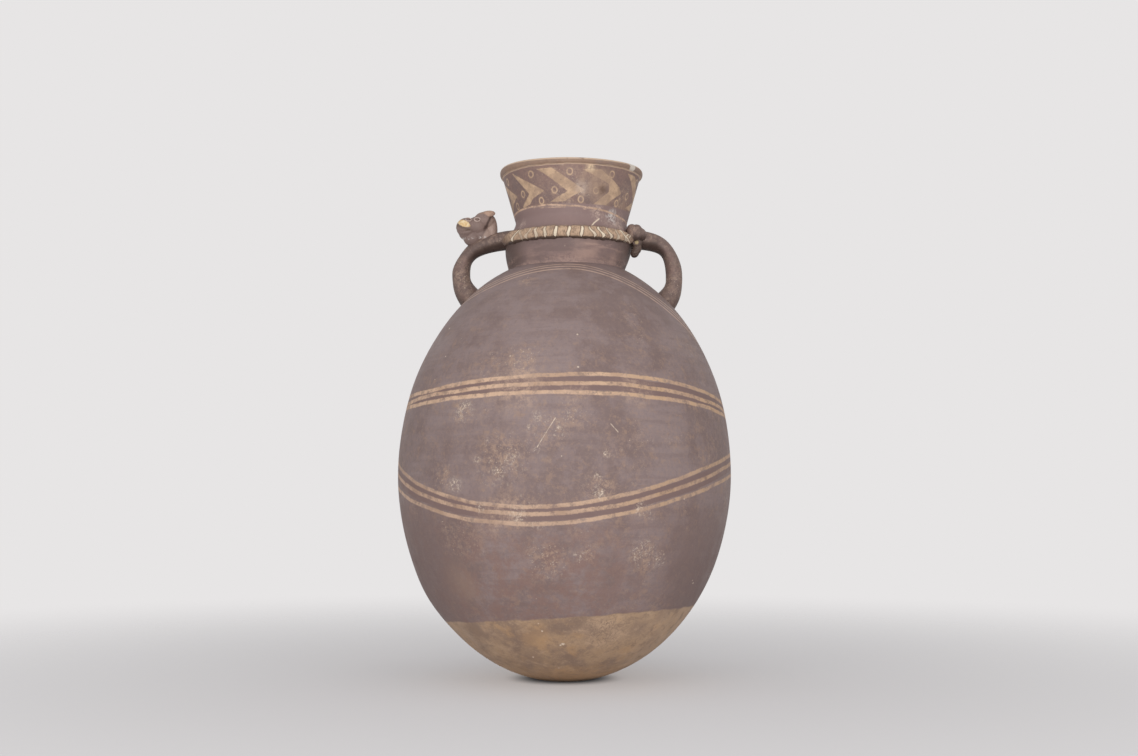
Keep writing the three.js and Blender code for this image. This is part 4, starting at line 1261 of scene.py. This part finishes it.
# How far each corner of the body lies from the nearest bar, and how strongly that bar shows.
bar_marks = []
for corner in body.data.vertices:
    x, y, z = in_mm(corner.co)
    angle = degrees(atan2(y, x - neck_offset(fillet_z)))
    degree = tau * hypot(x - neck_offset(fillet_z), y) / FULL_TURN
    height = (z - fillet_z) / FILLET_HALF_HEIGHT
    nearest = (FAR_OFF, 0)
    for bar, lean, curl, strength in BARS:
        off = turn_between(angle, FRONT + bar) - lean * height - curl * sin(pi * height)
        teardrop = (0.9 - 0.6 * strength) * height
        past_end = 5 * max(0, abs(height - 0.05) - 0.62)
        nearest = min(nearest, (abs(off) * degree + teardrop + past_end, strength))
    bar_marks.append(nearest)
for mark_name, marks in zip(("bar_reach", "bar_strength"), zip(*bar_marks)):
    note(body, mark_name, marks)

paint = Finish("striped_cream_slip")
colour, roughness, relief = slip_ground(paint, CREAM_WORN)
patchy = paint.noise(5, detail=7, roughness=0.72, shift=1.9)
lines = paint.noise(2.4, detail=5, roughness=0.72, stretch=(1.6, 1.6, 0.5), shift=5.8)
front = paint.ramp(paint.y, -20, -42, 0.1, 1.0)
cover = paint.times(paint.ramp(patchy, 0.38, 0.54, 0.3, 0.95), front)
colour = paint.blend(cover, colour, CREAM)
colour = paint.blend(paint.ramp(lines, 0.52, 0.66, 0, 0.7), colour, BAR_GAP_AND_SHADOW)
reach = paint.noted("bar_reach")
strength = paint.noted("bar_strength")
fray = paint.noise(2.0, detail=4, roughness=0.7, shift=3.7)
reach = paint.calc("MULTIPLY_ADD", fray, 1.3, reach)
# Painted shadow at the sides of each white bar.
painted_bar_shadow = paint.times(paint.ramp(reach, 3.1, 2.1, 0, 0.85), strength)
colour = paint.blend(painted_bar_shadow, colour, BAR_GAP_AND_SHADOW)
# Painted shadow along the wavy lower edge, where the fillet overhangs the neck; the same wavy height
# sets the darker slip on its top edge.
under = paint.calc("MULTIPLY_ADD", patchy, 2.4, paint.z)
colour = paint.blend(paint.ramp(under, fillet_z - 2.3, fillet_z - 3.6, 0, 0.92), colour, SHADE_AND_SMEAR_BROWN)
over = paint.ramp(under, fillet_z + 5.4, fillet_z + 6.6, 0, 0.7)
colour = paint.blend(over, colour, SLIP_DARK)
bar_share = paint.times(paint.ramp(reach, 2.1, 1.5), strength)
colour = paint.blend(bar_share, colour, WHITE)
for scratch_start, scratch_end in END_SCRATCHES:
    colour = paint.blend(paint.stroke(scratch_start, scratch_end, 0.8, (1, 0, 1)), colour, WHITE)
relief = paint.calc("MULTIPLY_ADD", bar_share, 0.1, relief)
relief = paint.calc("MULTIPLY_ADD", patchy, 1.6, relief)
relief = paint.calc("MULTIPLY_ADD", lines, 0.8, relief)
finished(body, paint.clay(colour, roughness, relief), "cream_paint", "feline_body")

# Feline's tail. A thinner fillet carries on round the back of the neck from the right handle and
# tapers away short of the left one. Its cream slip is nearly worn off.
TAIL_HALF_HEIGHT = 4
TAIL_HALF_DEPTH = 4
TAIL_TIP = 0.45
TAIL_START = 5
TAIL_END = 158


def tail_size(share, angle):
    """The tail is a little uneven and tapers towards its tip."""
    size = 1 + (TAIL_TIP - 1) * share**2
    size *= 1 + 0.05 * sin(radians(angle) * 11)
    return size, size


tail = neck_fillet(
    "feline_tail_coil", TAIL_START, TAIL_END, TAIL_HALF_DEPTH, TAIL_HALF_HEIGHT, tail_size
)
paint = Finish("worn_cream_slip")
colour, roughness, relief = slip_ground(paint, HANDLE_SLIP)
patchy = paint.noise(8, detail=6, roughness=0.68, shift=2.9)
colour = paint.blend(paint.ramp(patchy, 0.4, 0.6, 0.1, 0.9), colour, CREAM)
finished(tail, paint.clay(colour, roughness, relief), "cream_paint", "feline_tail")

# Feline's haunch and hind paw. The haunch is a thumbed lump where the body meets the right
# handle. The paw hangs below it against the neck, with a small painted ring over it.
LUMP_VOXEL = 0.45
IN_FRONT_Y = -100
PAW_RING_X = 64.9
PAW_RING_Z = 389.4
PAW_DARK = tint(84, 68, 60)
PAW_RING_MIDDLE = tint(186, 164, 126)


def clay_lump(place, radii, turn=(0, 0, 0)):
    """A pinch of clay: an oval lump, ready to be joined to others."""
    bpy.ops.mesh.primitive_uv_sphere_add(
        segments=32, ring_count=20, radius=MM,
        location=[part * MM for part in place], rotation=[radians(part) for part in turn],
    )
    lump = bpy.context.object
    lump.scale = radii
    bpy.ops.object.transform_apply(location=True, rotation=True, scale=True)
    return lump


def worked_together(name, lumps, voxel=LUMP_VOXEL, smoothing=10):
    """Joins lumps, draws them into one skin and wipes it smooth."""
    bpy.ops.object.select_all(action="DESELECT")
    for lump in lumps:
        lump.select_set(True)
    bpy.context.view_layer.objects.active = lumps[0]
    bpy.ops.object.join()
    piece = bpy.context.object
    piece.name = name
    piece.data.name = name
    skin = piece.modifiers.new("skin", "REMESH")
    skin.mode = "VOXEL"
    skin.voxel_size = voxel * MM
    bpy.ops.object.modifier_apply(modifier="skin")
    wipe = piece.modifiers.new("wipe", "SMOOTH")
    wipe.factor = 0.5
    wipe.iterations = smoothing
    bpy.ops.object.modifier_apply(modifier="wipe")
    return piece


def clay_ring(place, facing, radii, thickness):
    """A thin roll of clay bent into an oval ring that faces the given way."""
    turn = Vector(facing).to_track_quat("Z", "Y").to_euler()
    bpy.ops.mesh.primitive_torus_add(
        major_segments=32, minor_segments=12,
        major_radius=MM, minor_radius=MM * thickness / sum(radii),
        location=[part * MM for part in place], rotation=turn,
    )
    ring = bpy.context.object
    ring.scale = (radii[0], radii[1], sum(radii) / 2)
    bpy.ops.object.transform_apply(location=True, rotation=True, scale=True)
    return ring


def pressed(piece, dents):
    """Presses in, or with a depth under 0 raises, a round dent (place, radius, depth) at a time."""
    moves = []
    for corner in piece.data.vertices:
        push = 0
        for place, radius, depth in dents:
            off = (corner.co / MM - Vector(place)).length / radius
            push += depth * max(0, 1 - off * off) ** 2
        if push:
            moves.append((corner, corner.normal * push * MM))
    for corner, move in moves:
        corner.co -= move


def front_of(piece, x, z):
    """Where a pointer from straight in front touches the piece, and which way it faces there."""
    place, facing = piece.ray_cast(Vector((x, IN_FRONT_Y, z)) * MM, (0, 1, 0))[1:3]
    return tuple(place / MM), facing


def ring_finish(name, place, ring_tone, middle_tone, middle_radius):
    """Slip of one tone on a small ring and of another tone inside it."""
    paint = Finish(name)
    mottle = paint.noise(2.2, detail=5, roughness=0.7, shift=place[0])
    colour = paint.blend(paint.ramp(mottle, 0.4, 0.65, 0, 0.6), ring_tone, HANDLE_SLIP)
    colour = paint.blend(paint.near(place, middle_radius, ragged=0.4, reach=0.7), colour, middle_tone)
    return paint.clay(colour, 0.6, paint.times(mottle, 0.1))


haunch = worked_together("feline_haunch_lump", [
    clay_lump((60.6, -17.5, 400.0), (5.2, 8.5, 6.1)),
    clay_lump((65.0, -14.5, 400.4), (5.4, 9.5, 5.9)),
    clay_lump((62.6, -17.5, 397), (6.6, 9.5, 7)),
    clay_lump((67.5, -11, 397.5), (7.0, 9.5, 6.5)),
    clay_lump((60.6, -19, 394.2), (4.8, 7, 4.4)),
], smoothing=26)
pressed(haunch, [
    ((60, -26, 404), 4, 0.7), ((66, -25, 396), 4, 0.6),
    ((57, -27, 397), 3, 0.7), ((63, -27, 400), 3, 0.6),
])
trimmed(haunch)
mark_under_side(haunch)
finished(haunch, dark_finish("haunch_slip"), "dark_slip", "feline_haunch")

paw = worked_together("feline_paw_lobe", [
    clay_lump((65.6, -13.5, 389.6), (4.6, 5, 4.2)),
    clay_lump((65.6, -13.8, 384.6), (4.1, 4.8, 5.8), (0, 12, 0)),
    clay_lump((63.6, -14.2, 380.6), (3.9, 4.4, 4.8), (0, 24, 0)),
], smoothing=6)
pressed(paw, [((62.6, -18.5, 377.6), 1.6, 0.8), ((64.8, -18.5, 378.4), 1.6, 0.8)])
trimmed(paw)
mark_under_side(paw)
finished(paw, dark_finish("paw_slip", HANDLE_DARK, PAW_DARK), "dark_slip", "feline_hind_paw")

paw_front, paw_facing = front_of(paw, PAW_RING_X, PAW_RING_Z)
paw_ring = worked_together("feline_paw_ring", [
    clay_ring(paw_front, paw_facing, (2.9, 2.5), 1.4),
    clay_lump(paw_front, (2.1, 0.9, 1.7)),
], voxel=0.22, smoothing=3)
paw_ring_finish = ring_finish("paw_ring_slip", paw_front, HANDLE_DARK, PAW_RING_MIDDLE, 2.2)
finished(paw_ring, paw_ring_finish, "cream_paint")

# Feline's head. It looks out over the left handle, turned a little to the front. Skull, muzzle,
# chin, chest and nape were modelled in one lump and luted on; the cream on the muzzle is worn.
HEAD_TURN = 35
MOUTH_START = (-98.5, -9, 402.4)
MOUTH_END = (-86, -15, 400.6)
MOUTH_STEPS = 9
FACE_SLIP = tint(160, 136, 128)
MUZZLE_CREAM = tint(250, 228, 188)
MUZZLE_OCHRE = tint(224, 188, 134)
MUZZLE_SHADE = tint(96, 78, 62)
NAPE_TONE = tint(180, 156, 144)
CREST_TONE = tint(178, 146, 127)
PATCH_PLACE = (-91.3, 407.4)
PATCH_HALF_LENGTH = 6.4
PATCH_HALF_HEIGHT = 3.1
PATCH_LEAN = radians(-23)
FACE_BACK_EDGE_TOP = (-65.7, 417)
FACE_BACK_EDGE_LEAN = radians(-25.3)
JOIN_Z = 405.9
JOIN_TILT = 0.1


def from_place(paint, place, lean, size=1):
    """How far a spot lies from a place (x, height) along a leaning line, in shares of a size."""
    along_x = cos(lean) / size
    along_z = sin(lean) / size
    return paint.measure(along_x, 0, along_z, -(place[0] * along_x + place[1] * along_z))


head = worked_together("feline_head_lump", [
    clay_lump((-73.5, -3.5, 411.8), (9.5, 10, 8.2)),
    clay_lump((-79.5, -4.5, 406.5), (9.5, 10.5, 9.2)),
    clay_lump((-88.2, -7, 404.6), (11.2, 8.6, 9.4), (0, 0, HEAD_TURN)),
    clay_lump((-90, -6.5, 400), (6.3, 6.8, 6.3)),
    clay_lump((-84, -4, 396), (8.4, 8.5, 7.8)),
    clay_lump((-76, -1.5, 399), (11, 9.5, 8.5)),
    clay_lump((-67, 0.5, 404), (5.6, 8, 14)),
], smoothing=18)
mouth = []
for step in range(MOUTH_STEPS):
    share = step / (MOUTH_STEPS - 1)
    place = Vector(MOUTH_START).lerp(Vector(MOUTH_END), share)
    mouth.append((head.closest_point_on_mesh(place * MM)[1] / MM, 1.5, 0.45))
pressed(head, mouth)

paint = Finish("head_slip")
colour, roughness, relief = slip_ground(paint, FACE_SLIP, HANDLE_SLIP, HANDLE_RUBBED)
slant = from_place(paint, FACE_BACK_EDGE_TOP, FACE_BACK_EDGE_LEAN)
wander = paint.noise(6, detail=3, shift=3.3)
slant = paint.calc("MULTIPLY_ADD", wander, 2.0, paint.calc("SUBTRACT", slant, 1.0))
colour = paint.blend(paint.ramp(slant, 0.4, 2.4, 0, 0.9), colour, NAPE_TONE)
# Painted shadow in the step behind the face, along its back edge, fainter lower down.
painted_face_shadow = paint.ramp(paint.calc("ABSOLUTE", slant), 1.5, 0.3, 0, 0.8)
painted_face_shadow = paint.times(painted_face_shadow, paint.ramp(paint.z, 398, 406, 0.15, 1))
colour = paint.blend(painted_face_shadow, colour, SHADE_AND_SMEAR_BROWN)
crest = paint.times(paint.ramp(paint.z, 416, 418.5), paint.ramp(wander, 0.35, 0.55, 0.4, 0.9))
colour = paint.blend(crest, colour, CREST_TONE)
length_off = from_place(paint, PATCH_PLACE, PATCH_LEAN, PATCH_HALF_LENGTH)
height_off = from_place(paint, PATCH_PLACE, PATCH_LEAN + pi / 2, PATCH_HALF_HEIGHT)
off = paint.times(length_off, length_off)
off = paint.calc("SQRT", paint.calc("MULTIPLY_ADD", height_off, height_off, off))
fray = paint.noise(2.6, detail=5, roughness=0.7, shift=5.9)
off = paint.calc("MULTIPLY_ADD", fray, 0.7, off)
muzzle_shade = paint.times(paint.ramp(off, 2.4, 1.6), paint.ramp(height_off, -0.4, -1.2, 0, 0.7))
colour = paint.blend(muzzle_shade, colour, MUZZLE_SHADE)
cream = paint.blend(paint.ramp(fray, 0.42, 0.6), MUZZLE_OCHRE, MUZZLE_CREAM)
colour = paint.blend(paint.ramp(off, 1.45, 1.2), colour, cream)
join = paint.calc("MULTIPLY_ADD", wander, 5.0, paint.measure(-JOIN_TILT, 0, 1, -JOIN_Z))
join = paint.calc("ABSOLUTE", join)
join = paint.times(paint.ramp(join, 1.3, 0.4), paint.ramp(fray, 0.5, 0.58, 0, 0.8))
colour = paint.blend(join, colour, WHITENED)
finished(head, paint.clay(colour, roughness, relief), "dark_slip",
         "feline_head", "feline_muzzle", "feline_chest", "feline_nape")

# Feline's eyes. Each is a thin roll of clay bent into a ring round a small pellet and pressed on
# to the face. The ring is wiped paler than the face, and the pellet is darker.
EYE_Z = 411.2
EYE_TONE = tint(204, 182, 172)
PUPIL_TONE = tint(134, 112, 103)

# Each eye: its name, its place across and the radii of its ring.
EYES = [("feline_eye_left", -79.1, (2.7, 2.3)), ("feline_eye_right", -87.0, (2.7, 2.2))]

for eye_name, eye_x, eye_radii in EYES:
    place, facing = front_of(head, eye_x, EYE_Z)
    eye = worked_together(eye_name, [
        clay_ring(place, facing, eye_radii, 1.3),
        clay_lump(place, (1.2, 1.2, 1.2)),
    ], voxel=0.2, smoothing=3)
    eye_finish = ring_finish(eye_name + "_slip", place, EYE_TONE, PUPIL_TONE, 1.9)
    finished(eye, eye_finish, "dark_slip")

# Feline's ears. Each is an oval roll of clay with a pinch of clay pressed into it, luted to the
# top of the skull. Their slip is the paler brown of the crest.
EAR_TONE = tint(190, 158, 138)

# Each ear: its name, its node, its place and the way that it faces.
EARS = [
    ("feline_ear_left", "feline_ear_near", (-69.6, -9.2, 417.2), (-0.2, -0.8, 0.55)),
    ("feline_ear_right", "feline_ear_far", (-75.0, 3.5, 417.4), (-0.75, 0.2, 0.6)),
]
for ear_name, ear_node, ear_place, ear_facing in EARS:
    ear = worked_together(ear_name, [
        clay_ring(ear_place, ear_facing, (5.2, 2.8), 2.6),
        clay_lump(ear_place, (5, 2.6, 2.6), (0, 0, 12)),
    ], voxel=0.35, smoothing=5)
    ear_finish = ring_finish(ear_name + "_slip", ear_place, CREST_TONE, EAR_TONE, 4.4)
    finished(ear, ear_finish, "dark_slip", ear_node)
